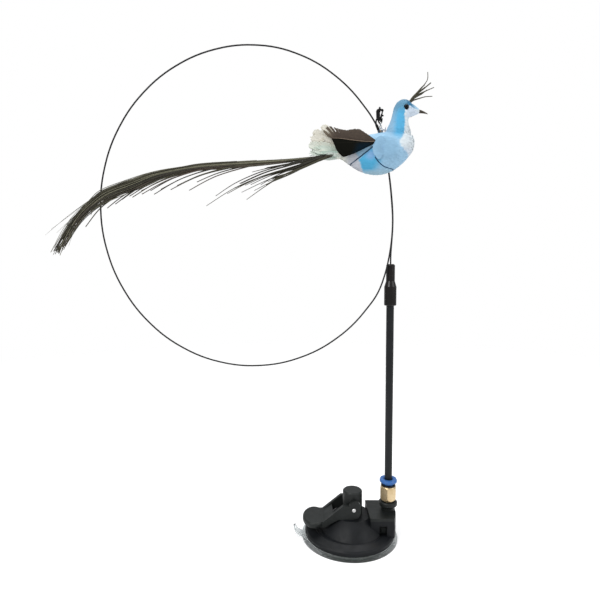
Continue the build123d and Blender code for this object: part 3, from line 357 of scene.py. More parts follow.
def herl(pile, corners, thick, tint, fuzz, pitch, steps, thin=None, swell=None):
    """A strand with short hairs on both sides, as long as fuzz and about a pitch apart."""
    hair_width = 0.16
    hair_lean = 1.25
    path = smooth_path(corners, steps)
    strand(pile, path, thick, thin or thick * 0.3, tint, swell=swell)
    for place, way, share in walk(path, 0.0, lambda: pitch * (0.7 + 0.6 * picker.random())):
        reach = fuzz * (0.55 + 0.9 * picker.random()) * (1.0 - 0.55 * share)
        side = Vector([picker.gauss(0, 1) for axis in range(3)])
        side = (side - way * side.dot(way)).normalized()
        width = way * hair_width
        for sign in (-1, 1):
            tip = place + (way * hair_lean + side * sign).normalized() * reach
            pile.add([place - width, place + width, tip], [(0, 1, 2)], vary(tint, 0.12))


def mix(first, second, share):
    """A tint between two."""
    return tuple(a + (b - a) * share for a, b in zip(first[:3], second[:3]))


def vary(tint, amount):
    """The tint made a little lighter or darker."""
    factor = 1 + draw(-amount, amount)
    return tuple(min(max(channel * factor, 0), 1) for channel in tint[:3])


def ease(low, high, value):
    """0 up to low, 1 from high on, and a smooth rise between. It falls where low is the higher one."""
    share = min(max((value - low) / (high - low), 0), 1)
    return share * share * (3 - 2 * share)


# The bird's tints, zone by zone

sky = srgb(158, 198, 226)
shoulder_blue = srgb(141, 181, 209)
shoulder_shade = srgb(134, 172, 204)
strong_blue = srgb(88, 173, 217)
nape_edge = srgb(142, 182, 210)
crown_blue = srgb(102, 152, 182)
forehead_teal = srgb(48, 112, 150)
cheek_lilac = srgb(212, 225, 240)
throat_white = srgb(219, 228, 233)
flank_blue = srgb(82, 172, 214)
flank_lilac = srgb(126, 172, 216)
breast_lilac = srgb(206, 219, 232)
belly_grey = srgb(154, 188, 206)
rear_grey = srgb(196, 199, 208)
back_pale = srgb(198, 206, 214)
rump_tone = srgb(216, 218, 208)

# Middles of round zones, in x and z, and the shoulder's radius
shoulder_middle = (22.2, 303.6)
shoulder_r = 8.8
shade_middle = (17.5, 303.4)
lilac_middle = (11.4, 299.4)
eye_middle = (37.8, 334.8)
eye_r = 2.6

# Heights where the neck and the head begin, for feathers and zones
neck_z = 318
head_z = 331
face_z = 326

# The border between the blue crown and nape and the white cheek, throat and breast, from the top down
throat_border = ((40.4, 337.6), (36.6, 333.4), (36.8, 322), (35.6, 316), (34.2, 312), (31.6, 308.9),
                 (32.4, 305.4), (35.6, 302), (40.6, 299))


def border_x(z):
    """The border's x at a height."""
    for (x_high, high), (x_low, low) in zip(throat_border, throat_border[1:]):
        if z >= low:
            return x_low + (x_high - x_low) * min((z - low) / (high - low), 1)
    return throat_border[-1][0]


def away_from(middle, x, z):
    """The distance from a zone's middle, as it is seen from the side."""
    return math.hypot(x - middle[0], z - middle[1])


def lay(tint, *layers):
    """A tint under layers, each a colour and how much it covers of what lies below."""
    for colour, share in layers:
        tint = mix(tint, colour, share)
    return tint


def body_tint(x, z):
    """The back above, the grey belly and rear below, and the strong blue flank between the threads."""
    rear = ease(0.5, -0.5, x - 5.6 + 0.42 * (z - 291))
    under_thread = ease(-0.5, 0.5, 296.6 + (x - 3.5) * 0.93 - z)
    flank = lay(flank_blue, (flank_lilac, ease(5.5, 1.0, away_from(lilac_middle, x, z))),
                (sky, ease(12.5, 21.5, x + 0.55 * (292 - z))))
    return lay(belly_grey, (sky, ease(287.5, 291.5, z)),
               (back_pale, ease(12, 4, x) * ease(304, 309, z)),
               (rear_grey, rear * ease(306, 302, z)),
               (rump_tone, ease(-2, -9, x)),
               (flank, under_thread * (1 - rear) * ease(287.6, 290.4, z) * ease(24, 18, x)))


def shoulder_layer(x, z):
    """The round shoulder, sharp at its rear edge and soft towards breast and belly."""
    colour = mix(shoulder_blue, shoulder_shade, ease(5, 1, away_from(shade_middle, x, z)))
    soft = 0.35 + 2.6 * ease(20, 28, x) + 1.6 * ease(300, 295, z)
    return colour, ease(shoulder_r + soft, shoulder_r - soft, away_from(shoulder_middle, x, z))


def nape_layer(x, z, past):
    """The blue neck and crown behind the border."""
    blue = lay(nape_edge, (strong_blue, ease(26.5, 31.5, x - 0.12 * (z - 320))),
               (sky, 0.5 * ease(316, 311, z)), (crown_blue, ease(330, 337, z)))
    return blue, ease(309.5, 313.5, z + 0.35 * (x - 29)) * ease(0.45, -0.45, past)


def throat_layer(z, past):
    """The white throat and the lilac breast in front of the border."""
    white = mix(breast_lilac, throat_white, ease(301.5, 305.5, z))
    return white, ease(-0.35, 0.55, past) * ease(297.5, 300.5, z) * ease(335, 333, z)


def face_layers(x, z):
    """The pale cheek, and the teal forehead above the line from eye to beak."""
    lore = 335.6 - 0.42 * (x - 39.5)
    cheek = ease(37.2, 38.6, x) * ease(327.0, 328.6, z) * ease(lore + 0.5, lore - 0.7, z)
    wedge = ease(37.6, 39.6, x) * ease(lore - 0.2, lore + 0.9, z) * ease(45.5, 41.0, x)
    return (cheek_lilac, cheek), (forehead_teal, wedge)


def plumage_tint(place):
    """The colour at a place on the bird: zones with slightly ragged borders, each over the one before."""
    ragged = noise.noise(Vector(place) * 0.55) * 0.7
    x = place.x + ragged
    z = place.z + ragged
    past = x - border_x(z)
    tint = lay(body_tint(x, z), shoulder_layer(x, z), nape_layer(x, z, past), throat_layer(z, past))
    return lay(tint, *face_layers(x, z)) if z > face_z else tint


# The bird's skin and small feathers

def keep_largest(mesh):
    """The mesh's largest shell alone, without small stray ones."""
    net = bmesh.new()
    net.from_mesh(mesh)
    shells = []
    seen = set()
    for vertex in net.verts:
        if vertex in seen:
            continue
        seen.add(vertex)
        shell = [vertex]
        # The list grows while it is walked through
        for current in shell:
            for edge in current.link_edges:
                other = edge.other_vert(current)
                if other not in seen:
                    seen.add(other)
                    shell.append(other)
        shells.append(shell)
    shells.sort(key=len)
    for shell in shells[:-1]:
        bmesh.ops.delete(net, geom=shell, context="VERTS")
    net.to_mesh(mesh)
    net.free()


def bird_skin():
    """Body, neck and head as one smooth padded skin, from the CAD solids."""
    joined = bmesh.new()
    for node in ("bird_body", "bird_head"):
        joined.from_mesh(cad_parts[node].data)
    mesh = bpy.data.meshes.new("bird_skin")
    joined.to_mesh(mesh)
    joined.free()
    skin = show("bird_skin", mesh)
    grow = skin.modifiers.new("grow", "DISPLACE")
    grow.strength = 0.45 * MM
    grow.mid_level = 0.0
    grid = skin.modifiers.new("grid", "REMESH")
    grid.mode = "VOXEL"
    grid.voxel_size = 0.7 * MM
    relax = skin.modifiers.new("relax", "SMOOTH")
    relax.factor = 0.5
    relax.iterations = 14
    final = bpy.data.meshes.new_from_object(skin.evaluated_get(bpy.context.evaluated_depsgraph_get()))
    skin.modifiers.clear()
    skin.data = final
    keep_largest(final)
    dress(final, soft_feather, [plumage_tint(vertex.co / MM) for vertex in final.vertices])
    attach(skin, "bird")
    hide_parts("bird_body", "bird_head")
    return final


skin_mesh = bird_skin()
skin_tree = BVHTree.FromPolygons([vertex.co / MM for vertex in skin_mesh.vertices],
                                 [tuple(polygon.vertices) for polygon in skin_mesh.polygons])


def on_flank(x, z, side):
    """The place and normal where the skin is met from one side, or None where it is missed."""
    clear_of_bird = 30
    start = Vector((x, BIRD_Y + side * clear_of_bird, z))
    return skin_tree.ray_cast(start, Vector((0, -side, 0)), clear_of_bird)[:2]


def lie_of(place):
    """The way that feathers lie at a place: back from the beak, down the neck, back along the body."""
    crown_z = 333
    if place.z > crown_z:
        return Vector((-1.0, 0, -0.25 - 0.12 * max(40 - place.x, 0)))
    if place.z > neck_z:
        share = (place.z - neck_z) / (crown_z - neck_z)
        return Vector((-0.35, 0, -1.0)) * share + Vector((-0.9, 0, -0.45)) * (1 - share)
    return Vector((-1.0, 0, -0.1))


def along_skin(way, normal):
    """A direction laid flat on the skin."""
    return way - normal * way.dot(normal)


def small_feather(pile, place, normal, way, length, width, shade, lift, own_tint=None):
    """One small body feather: a curved leaf that lies on the skin and lifts a little at its tip."""
    # Shares of the length, of the width there, and of the lift there
    rows = ((0, 0.35, 0.05), (0.3, 0.85, 0.16), (0.62, 1, 0.3), (0.86, 0.74, 0.45), (1, 0.22, 0.6))
    sink = 0.08
    aside = normal.cross(way).normalized()
    points = []
    tints = []
    for along, wide, up in rows:
        middle = place + way * length * along + normal * (lift * up + sink)
        droop = normal * (width * wide * 0.1)
        half = aside * width * wide / 2
        points += [middle - half - droop, middle + normal * width * 0.04, middle + half - droop]
        tint = own_tint or plumage_tint(middle)
        tints += [tuple(channel * (shade + 0.05 * along) for channel in tint)] * 3
    corners = [row * 3 + column for row in range(len(rows) - 1) for column in range(2)]
    pile.add(points, [(corner, corner + 1, corner + 4, corner + 3) for corner in corners], tints)


def body_feathers():
    """Small feathers over the whole skin, longer on the body than on the head."""
    wanted = 3600
    pile = Pile()
    areas = [polygon.area / MM / MM for polygon in skin_mesh.polygons]
    step = sum(areas) / wanted
    left = step * picker.random()
    for polygon, area in zip(skin_mesh.polygons, areas):
        left -= area
        if left > 0:
            continue
        left += step * (0.6 + 0.8 * picker.random())
        place = polygon.center / MM
        normal = polygon.normal.copy()
        near_beak = place.x > 46.0 and place.z > 328
        if near_beak or away_from(eye_middle, place.x, place.z) < eye_r:
            continue
        way = along_skin(lie_of(place), normal)
        if way.length < 0.2:
            continue
        way = Matrix.Rotation(draw(-0.22, 0.22), 3, normal) @ way.normalized()
        if place.z > head_z:
            length = draw(1.6, 2.4)
        elif place.z > neck_z:
            length = draw(2.6, 3.8)
        else:
            length = draw(3.8, 6.0)
        root = place - way * length * 0.45
        small_feather(pile, root, normal, way, length, length * 0.62, draw(0.94, 0.99), 0.16)
    pile.piece("body_feathers", soft_feather, "plumage_blue")


def shoulder_feathers():
    """The round shoulder's rear edge: rows of small feathers that lie over the wing's root."""
    middle_x = 22.6
    middle_z = 303.6
    pile = Pile()
    for side in (NEAR, FAR):
        for radius, lift in ((8.6, 1.6), (7.6, 1.3), (6.4, 0.9), (5.0, 0.4)):
            count = int(radius * 3.2)
            for step in range(count):
                angle = math.radians(112 + 126 * (step + draw(-0.2, 0.2)) / count)
                ahead = math.cos(angle)
                up = math.sin(angle)
                hit, normal = on_flank(middle_x + radius * ahead, middle_z + radius * up, side)
                if hit is None:
                    continue
                way = along_skin(Vector((ahead - 0.8, 0, up * 0.7)), normal).normalized()
                tint = vary(mix(srgb(132, 170, 198), shoulder_blue, 0.06 * radius), 0.03)
                root = hit + normal * lift * 0.55 - way * 1.6
                small_feather(pile, root, normal, way, draw(2.6, 3.2), 2.0, 1.0, lift * 0.5, tint)
    pile.piece("shoulder_feathers", soft_feather, "plumage_blue")


# Wings

brown = srgb(68, 56, 47)
brown_light = srgb(90, 78, 66)
brown_tip = srgb(118, 107, 90)
brown_shaft = srgb(120, 104, 90)
black_vane = srgb(15, 15, 10)
black_sheen = srgb(4, 28, 42)
black_shaft = srgb(40, 38, 30)

# The root's x and its distance from the bird's middle plane, and how fast the wing leans in behind it
root_x = 14.5
root_out = 12.3
wing_tuck = 7.6 / 38.8

# Lines on the wing in x and z, from the root to the rear
quill_line = ((13.6, 308.2), (6.6, 308.3), (0.1, 309.3), (-5.9, 310.4), (-10.5, 311.3), (-16.8, 311.9))
quill_end = (-19.4, 313)
black_shaft_line = ((12.5, 307.6), (2, 307.6), (-6, 308.2), (-14, 308.2))
black_edge = ((13, 306.6), (6.6, 303.2), (0.2, 300.4), (-4.2, 298.9), (-8.6, 297.9), (-11, 300),
              (-13.6, 303.2), (-15, 307), (-17, 311.2))
brown_edge = ((14.4, 309.4), (10.2, 312.4), (6.5, 314.8), (2.8, 317.2), (-1.5, 317.6), (-5.9, 317.2),
              (-11.9, 318.4), (-16.1, 320), (-19.8, 320.6), (-22.6, 318.6), (-22.8, 316.4), (-21, 314.6))
covert_quill = ((13.6, 308.7), (6.6, 308.9), (0.1, 310), (-4, 311.2))
covert_edge = ((14, 309.6), (10, 311.8), (6.5, 313.6), (2.8, 314.8), (-1.5, 314.8), (-5.9, 314.2))

# Where the brown vane is frayed, as shares of its length: a gap's start and its width
frayed_shares = ((0.665, 0.012), (0.73, 0.03), (0.80, 0.02), (0.865, 0.035), (0.94, 0.02))


def wing_line(side, places, out):
    """Places on the wing's leaning plane, so far out from it, and drawn in to the body at the root."""
    line = []
    for x, z in places:
        drawn_in = 1.6 * ease(7.0, 14.0, x)
        line.append(Vector((x, BIRD_Y + side * (root_out - (root_x - x) * wing_tuck + out - drawn_in), z)))
    return line


def even_places(corners, count):
    """Places at even steps on a smooth line through the corners."""
    path = smooth_path(corners, 12)
    lengths = [0.0]
    for start, end in zip(path, path[1:]):
        lengths.append(lengths[-1] + (end - start).length)
    places = []
    index = 0
    for step in range(count):
        at = lengths[-1] * step / (count - 1)
        while index < len(path) - 2 and lengths[index + 1] < at:
            index += 1
        share = (at - lengths[index]) / (lengths[index + 1] - lengths[index])
        places.append(path[index].lerp(path[index + 1], share))
    return places


def vane(pile, quill, edge, count, normal, tint_at, loose, rise=0.25, gaps=()):
    """One side of a feather: barbs laid close together from the quill's line to the vane's edge."""
    bow = 0.025
    least_width = 0.22
    overlap = 1.7
    barb_shares = (0, 0.25, 0.5, 0.75, 1)
    roots = even_places(quill, count)
    tips = even_places(edge, count)
    for index, (root, tip) in enumerate(zip(roots, tips)):
        share = index / (count - 1)
        if any(low < share < low + wide for low, wide in gaps):
            tip = root.lerp(tip, draw(0.45, 0.6))
        tip = root.lerp(tip, 1 + draw(-1, 0.5) * loose)
        before = max(index - 1, 0)
        after = min(index + 1, count - 1)
        ahead = roots[after] - roots[before]
        near = ahead.length / 2
        far = (tips[after] - tips[before]).length / 2
        reach = (tip - root).length
        middle = root.lerp(tip, 0.5) - ahead.normalized() * reach * 0.08 + normal * bow * reach
        path = [root, root.lerp(middle, 0.25), root.lerp(middle, 0.5), middle.lerp(tip, 0.5), tip]
        # Every third barb lies on one level, so that no two neighbours share a plane
        lift = normal * (rise * (index % 3) / 3) * 0.4
        widths = [max(near + (far - near) * along, least_width) * overlap for along in barb_shares]
        widths[-1] *= 0.7
        tints = []
        for along in barb_shares:
            tints += [vary(tint_at(share, along), 0.05)] * 2
        ribbon(pile, [place + lift for place in path], widths, normal, tints)


def black_tint(share, along):
    """The black vane's tint, so far along the quill and so far out on a barb: a blue sheen near the root."""
    sheen = ease(0.02, 0.14, share) * ease(0.5, 0.3, share) * ease(0.2, 0.7, along)
    return mix(black_vane, black_sheen, 0.8 * sheen)


def brown_tint(share, along):
    """The brown vane's tint in the same way: paler at its edge and its end."""
    tint = mix(brown, brown_light, 0.5 * ease(0.55, 1.0, along))
    return mix(tint, brown_tip, ease(0.74, 0.98, share) * ease(0.3, 0.9, along))


def covert_tint(share, along):
    """The tint of the short feathers over the brown vane's root."""
    return mix(brown, brown_light, 0.25 * along)


def black_vanes(side, quill, normal):
    """A long layer below the quill and a short one over it, and on the far side a little less deep."""
    drawn_up = 2.2 if side == FAR else 0.0
    top_z = 311
    depth = 13
    pile = Pile()
    for short, out in ((False, 0.3), (True, 0.75)):
        edge = wing_line(side, [(x, z + drawn_up * (top_z - z) / depth) for x, z in black_edge], out)
        if short:
            edge = [start.lerp(end, 0.72) for start, end in zip(even_places(quill, len(edge)), edge)]
        vane(pile, quill, edge, 170, normal, black_tint, loose=0.012, rise=0.2)
    strand(pile, wing_line(side, black_shaft_line, 0.6), 0.16, 0.06, black_shaft)
    return pile


def brown_vanes(side, quill, normal):
    """The frayed vane above the quill, the short feathers on its root, and the pale quill itself."""
    pile = Pile()
    vane(pile, quill + wing_line(side, [quill_end], 0.35), wing_line(side, brown_edge, 0.3), 200, normal,
         brown_tint, loose=0.06, rise=0.3, gaps=frayed_shares)
    vane(pile, wing_line(side, covert_quill, 0.6), wing_line(side, covert_edge, 0.75), 90, normal,
         covert_tint, loose=0.08)
    strand(pile, [place + normal * 0.3 for place in smooth_path(quill, 6)], 0.34, 0.2, brown_shaft, sides=6)
    return pile


def wing(side, word):
    """One wing: a black vane below its pale quill, and a brown one above, with frayed ends."""
    normal = Vector((-wing_tuck, side, 0)).normalized()
    quill = wing_line(side, quill_line, 0.35)
    black_vanes(side, quill, normal).piece(
        "wing_black_vanes_" + word, dark_vane, "feather_black", "wing_black_" + word)
    brown_vanes(side, quill, normal).piece(
        "wing_brown_vanes_" + word, vane_feather, "feather_brown", "wing_brown_" + word)


def scapulars():
    """Small feathers from the back's flank out over each wing's root, so that it grows from the body."""
    lowest_z = 306.4
    rise = 0.62
    pile = Pile()
    for side in (NEAR, FAR):
        for row, (out, x) in enumerate(((-1, 15.8), (-0.6, 16.4), (-0.2, 17))):
            for step in range(6):
                z = lowest_z + rise * step + draw(-0.15, 0.15)
                hit, normal = on_flank(x, z, side)
                if hit is None:
                    continue
                reach = wing_line(side, [(13.0, min(z, 309.0))], out)[0] - hit
                way = reach.normalized()
                tint = vary(mix(shoulder_blue, sky, 0.3 * row), 0.03)
                small_feather(pile, hit - normal * 0.2, along_skin(normal, way).normalized(), way,
                              reach.length + 0.4, 2.0, 1.0, 0.2, tint)
    pile.piece("scapular_feathers", soft_feather, "plumage_blue")


# Rump

cream = srgb(232, 228, 214)
mint = srgb(194, 216, 204)
white_down = srgb(236, 236, 232)


def level(values, share):
    """A value read from an even list at a share of its length."""
    place = share * (len(values) - 1)
    low = min(int(place), len(values) - 2)
    return values[low] + (values[low + 1] - values[low]) * (place - low)


def down_feather(pile, corners, widths, normal, tint):
    """A soft feather: a thin shaft with curled barbs on both sides, whose lengths follow the widths."""
    pitch = 0.3
    lean = 0.85
    loose = 0.1
    curl = 0.1
    path = smooth_path(corners, 8)
    normal = normal.normalized()
    strand(pile, path, 0.12, 0.08, tint, sides=5)
    total = length_of(path)
    step = total / int(total / pitch)
    wide = step * 1.25
    clump = {1: 0.0, -1: 0.0}
    for place, way, share in walk(path, step / 2, lambda: step):
        aside = normal.cross(way).normalized()
        for sign in clump:
            if picker.random() < 0.16:
                clump[sign] = draw(-loose, loose)
            angle = lean * (1 - 0.45 * share) + clump[sign]
            out = aside * sign * math.sin(angle) + way * math.cos(angle)
            reach = level(widths, share) / math.sin(angle) * (1 + draw(-1, 1) * loose)
            lift = normal * (curl * reach)
            barb = [place, place + out * reach * 0.5 + lift * 0.4,
                    place + (out + way * 0.25).normalized() * reach + lift]
            hue = vary(tint, 0.1)
            ribbon(pile, barb, [wide, wide * 0.95, wide * 0.3], normal,
                   mix(hue, mix(tint, white_down, 0.3), share ** 2))


def rump():
    """Pale soft feathers that fan back over the tail's root, with mint down below."""
    pile = Pile()
    # The root, middle and tip of each feather in x and z, half its width, and its tint
    fans = (
        ((-6, 309), (-17, 316), (-24, 321.5), 3.6, cream),
        ((-6, 308), (-18, 313.5), (-29, 318.6), 3.8, cream),
        ((-7, 306), (-19, 310), (-31, 313.6), 4, cream),
        ((-7, 304), (-20, 306.5), (-32.4, 308.4), 4, mix(cream, mint, 0.4)),
        ((-8, 302), (-20, 303.4), (-31, 303.6), 3.8, mix(cream, mint, 0.7)),
        ((-8, 301.2), (-19, 301.6), (-27.6, 301), 2.8, mint),
        ((-8, 300.6), (-15, 300.6), (-22, 300.2), 2.2, mix(white_down, mint, 0.5)),
    )
    for aside in (-2.2, -0.8, 0.8, 2.2):
        for root, middle, tip, wide, tint in fans:
            shift = draw(-0.7, 0.7)
            corners = [
                (root[0], BIRD_Y + aside * 0.8, root[1]),
                (middle[0] + shift, BIRD_Y + aside * 1.1, middle[1] + shift),
                (tip[0] + shift * 2, BIRD_Y + aside * draw(0.5, 1.4), tip[1] + shift * 1.5)]
            normal = Vector((0.05 * aside, math.copysign(1, aside), draw(-0.3, 0.3)))
            down_feather(pile, corners, (wide * 0.7, wide, wide * 1.05, wide * 0.7, 0.4), normal, tint)
    for tuft in range(110):
        root = Vector((draw(-30, -9), BIRD_Y + draw(-3.6, 3.6), draw(300, 315)))
        way = Vector((-1, draw(-0.3, 0.3), draw(-0.35, 0.45))).normalized()
        tip = root + way * draw(2.5, 4.5)
        middle = root + way * 2.5 + Vector((0, 0, draw(-0.6, 0.6)))
        tint = vary(mix(cream, mint, ease(309, 303, root.z)), 0.04)
        herl(pile, [root, middle, tip], 0.05, tint, fuzz=1.5, pitch=0.3, steps=5)
    pile.piece("rump_plumes", soft_feather, "rump_cream", "rump_feathers")


# Tail

olive = srgb(74, 71, 56)
olive_light = srgb(124, 122, 102)
tail_brown = srgb(88, 77, 67)
tail_dark = srgb(54, 52, 44)
wisp_grey = srgb(128, 126, 118)

# The sheaf's top and bottom edges in x and z, from the rump to the end
top_edge = (
    (-20, 301), (-31, 299.9), (-51, 298.2), (-80, 296.8), (-109, 295.2), (-123, 293.2), (-149, 288.8),
    (-171, 281.9), (-190, 275.2), (-202, 268.2), (-214, 256.5), (-222.5, 241.5), (-226.5, 231))
bottom_edge = (
    (-20, 299), (-31, 298.2), (-51, 295.9), (-73, 293.4), (-102, 291), (-123, 289.2), (-146, 283.8),
    (-160, 276.8), (-178, 270.4), (-190, 264.6), (-200, 258), (-209, 249.5), (-219.5, 234.5))

# The ends of the hairs that leave the sheaf below, each with the distance back to where it leaves
hair_ends = (
    (-179.3, 264.8, 42), (-169, 270.9, 40), (-166.2, 269.8, 44), (-158.6, 271.9, 46),
    (-149.6, 271.9, 44), (-138, 275.9, 44), (-132.2, 278.3, 40), (-159.6, 274.8, 44),
    (-124.1, 275.5, 46), (-130.5, 279.8, 40), (-145, 276, 40), (-118, 281.5, 36),
    (-202.8, 248, 24), (-174, 268, 36), (-153, 275, 38), (-186, 262, 30),
)
wisp_lines = (
    ((-168, 281.5), (-190, 273), (-212, 258.5), (-233, 241.6)),
    ((-172, 280.5), (-196, 269.5), (-214, 256.5), (-228.5, 246)),
    ((-180, 276), (-200, 264.5), (-214, 252.5), (-223.9, 243.3)),
    ((-190, 270), (-206, 259.5), (-218, 246), (-229, 228.5)),
    ((-196, 264), (-208, 254), (-218, 240), (-222.5, 228.6)),
    ((-188, 266), (-201, 257), (-211, 245), (-216, 233.5)),
)
side_lines = (
    ((-17.8, 301), (-37, 292.8), (-54.9, 285.7), (-67.9, 278.3), (-82.7, 268)),
    ((-19, 300), (-29.8, 296.8), (-47.7, 291.4), (-69.3, 284.9), (-90.2, 276.2), (-111.6, 263)),
    ((-19, 300.6), (-30.5, 298.2), (-51.3, 292.8), (-69.3, 287.6), (-87.3, 279.8), (-101.8, 270.5)),
    ((-18, 299.6), (-30, 294.4), (-44.1, 288.6), (-60.9, 283.4), (-82.7, 273.4)),
    ((-19, 299), (-31.2, 296.1), (-47.7, 290.2), (-64.1, 286), (-80.1, 279.1), (-92.2, 272.8)),
    ((-18, 300.2), (-36, 293.6), (-50, 287), (-64, 281.4), (-77, 275)),
    ((-19, 301), (-34, 296.8), (-52, 294), (-66, 291.8), (-78, 289.2)),
)


def tail_line(top, bottom, share, aside, first, last, wave):
    """One strand's corners, so far down from the top edge, from a first to a last share of the length."""
    corners = []
    end = len(top) - 1
    splay = Vector((draw(-3.0, 3.0), 0, draw(-1.0, 1.0)))
    for index in range(int(first * end), int(last * end) + 1, 4):
        along = index / end
        low = share + (1 - share) * 0.35 * ease(0.62, 0.8, along)
        place = top[index].lerp(bottom[index], low + wave * math.sin(7 * along + 30 * share))
        place.y = BIRD_Y + aside * (0.25 + along)
        corners.append(place + splay * ease(0.7, 1, along))
    return corners


def tail_sheaf(pile):
    """The long loose strands, paler and greener above than below."""
    top = plane_path(top_edge, 4)
    bottom = plane_path(bottom_edge, 4)
    for number in range(96):
        share = picker.random()
        first = 0.0 if picker.random() < 0.5 - 0.4 * share else draw(0.1, 0.5)
        last = min(1.0, draw(0.82, 1.2))
        corners = tail_line(top, bottom, share, draw(-2.4, 2.4), first, last, draw(-0.1, 0.1))
        way = (corners[-1] - corners[-2]).normalized()
        drop = Vector((0, 0, -1)) * draw(0.2, 1.6)
        corners.append(corners[-1] + way * draw(1.5, 6.5) + drop * (0.4 + share))
        if share > 0.62:
            tint = picker.choice((tail_brown, tail_dark, olive, olive_light))
        else:
            tint = picker.choice((olive, olive, olive_light, tail_dark))
        thick = draw(0.26, 0.44)
        herl(pile, corners, thick, vary(tint, 0.14), fuzz=0.85, pitch=0.9, steps=5, thin=thick * 0.6)


def tail_hairs(pile):
    """Single strands that leave the sheaf's bottom edge and hang a little below it."""
    inset = 16
    bottom = plane_path(bottom_edge, 12)
    for x, z, back in hair_ends:
        root = min(bottom, key=lambda place: abs(place.x - (x + back)))
        inside = min(bottom, key=lambda place: abs(place.x - (x + back + inset)))
        aside = draw(-2.0, 2.0)
        corners = [(inside.x, BIRD_Y + aside * 0.4, inside.z + 1.5),
                   (root.x, BIRD_Y + aside * 0.6, root.z + 0.4),
                   (x + back * 0.45, BIRD_Y + aside, z + (root.z - z) * 0.6), (x, BIRD_Y + aside * 1.3, z)]
        tint = picker.choice((tail_brown, tail_dark, olive))
        herl(pile, corners, 0.62, vary(tint, 0.12), fuzz=0.4, pitch=0.8, steps=8, thin=0.34)


def tail():
    """The long tail: a thick sheaf, hairs that leave it below, and wisps at its end."""
    pile = Pile()
    tail_sheaf(pile)
    tail_hairs(pile)
    for places in wisp_lines:
        aside = draw(-2.5, 2.5)
        corners = [(x, BIRD_Y + aside * (0.6 + 0.2 * step), z) for step, (x, z) in enumerate(places)]
        herl(pile, corners, 0.26, vary(wisp_grey, 0.1), fuzz=0.5, pitch=0.9, steps=8)
    pile.piece("tail_strands", tail_feather, "tail_olive", "tail_main")


def slim_root(share):
    """A strand's thickness near its root, where it comes out from under the rump."""
    return 0.15 + 0.85 * ease(0.0, 0.2, share)


def side_strands():
    """The short strands under the tail, in threes."""
    pile = Pile()
    for number, places in enumerate(side_lines):
        aside = (number - 3) * 0.7
        for kept in (places, places[:-1], places[:-1]):
            shift = Vector((draw(-3, 3), draw(-0.4, 0.4), draw(-0.35, 0.35)))
            corners = [Vector((x, BIRD_Y - 3.2 + 0.6 * step + aside * (0.3 + 0.2 * step), z)) + shift
                       for step, (x, z) in enumerate(kept)]
            tint = vary(picker.choice((olive, tail_dark)), 0.12)
            herl(pile, corners, 0.56 if number % 2 else 0.74, tint, fuzz=0.8, pitch=0.6, steps=7, thin=0.24,
                 swell=slim_root)
    pile.piece("side_strands", tail_feather, "tail_olive", "tail_side")


# Crest, threads and hanger

crest_lines = (
    ((40.6, 339), (43.4, 343.2), (47.6, 347.4), (51.3, 351.7), (54, 356), (54, 361.2)),
    ((40.6, 339), (43.6, 342.8), (47.6, 346.6), (52.7, 350.6), (56.8, 353.9)),
    ((40.8, 339), (44, 342.8), (48.4, 345.8), (53.2, 348), (59.3, 350.6)),
    ((41, 338.8), (43.8, 341.2), (48, 342.6), (52.8, 344), (58.3, 344.4)),
    ((40.4, 339), (43.4, 343.4), (47, 347.2), (50, 350.6), (52.6, 353)),
    ((40.9, 339), (43.8, 342.4), (47.4, 344.8), (50.6, 346.4), (54.4, 349.6)),
)
rear_thread_line = ((12.9, 305), (7.9, 301.2), (2.8, 297.5), (-4.2, 293.2))
front_thread_line = ((14.4, 297.4), (17.2, 294.1), (20.9, 291.5), (25.1, 290.4), (29.4, 290.2))

# The hanger's stem, from the back up to the ring
stem_foot = (25, -15, 308)
stem_top = (21.6, -3.45, 323.5)

curl_lines = (
    ((19.4, 316.6), (19, 318.8), (20.4, 321.6), (21.6, 320.6), (21.2, 318.6)),
    ((21, 316.8), (20.6, 319.2), (21.2, 320.6), (22.2, 319.6)),
    ((22.4, 316.8), (22, 319.4), (23, 321.2), (24, 320.2), (23.6, 318.6)),
    ((23.8, 316.8), (24.6, 318.8), (24.2, 321.4), (24.6, 323)),
    ((25.2, 317), (25, 318.8), (25.9, 320), (26.4, 319)),
)


def crest():
    """A few dark strands on the crown, in threes that are fused near their root."""
    pile = Pile()
    for number, places in enumerate(crest_lines):
        aside = (number - 2.5) * 0.25
        for kept in (places, places[:4], places[:4]):
            shift = Vector((0, draw(-0.25, 0.25), draw(-0.25, 0.25)))
            corners = [Vector((x, BIRD_Y + aside * (0.3 + 0.5 * step), z)) + shift
                       for step, (x, z) in enumerate(kept)]
            herl(pile, corners, 0.7, vary(olive, 0.12), fuzz=0.9, pitch=0.35, steps=6,
                 thin=0.5 if number in (1, 4) else 0.3)
    pile.piece("crest_strands", tail_feather, "crest_olive", "crest")


def belly_thread(seen_line, name, node):
    """A thread round the belly: down the near side, under the middle and up the far side."""
    thread_r = 0.47
    sides = {NEAR: [], FAR: []}
    for place in plane_path(seen_line, 8):
        for side, path in sides.items():
            hit = on_flank(place.x, place.z, side)[0]
            if hit is not None and abs(hit.y - BIRD_Y) > 1.2:
                path.append(hit + Vector((0, side * 0.15, -0.08)))
    bottom_x = sides[NEAR][-1].x + math.copysign(0.4, seen_line[-1][0] - seen_line[0][0])
    under = []
    for aside in (-0.8, 0, 0.8):
        hit = skin_tree.ray_cast(Vector((bottom_x, BIRD_Y + aside, 270)), Vector((0, 0, 1)), 40)[0]
        under.append(hit - Vector((0, 0, 0.15)))
    corners = sides[NEAR][::3] + under + sides[FAR][::-1][::3]
    pile = Pile()
    strand(pile, smooth_path(corners, 5), thread_r, thread_r, srgb(38, 78, 112), sides=6)
    pile.piece(name, thread_dark, "thread_dark", node)


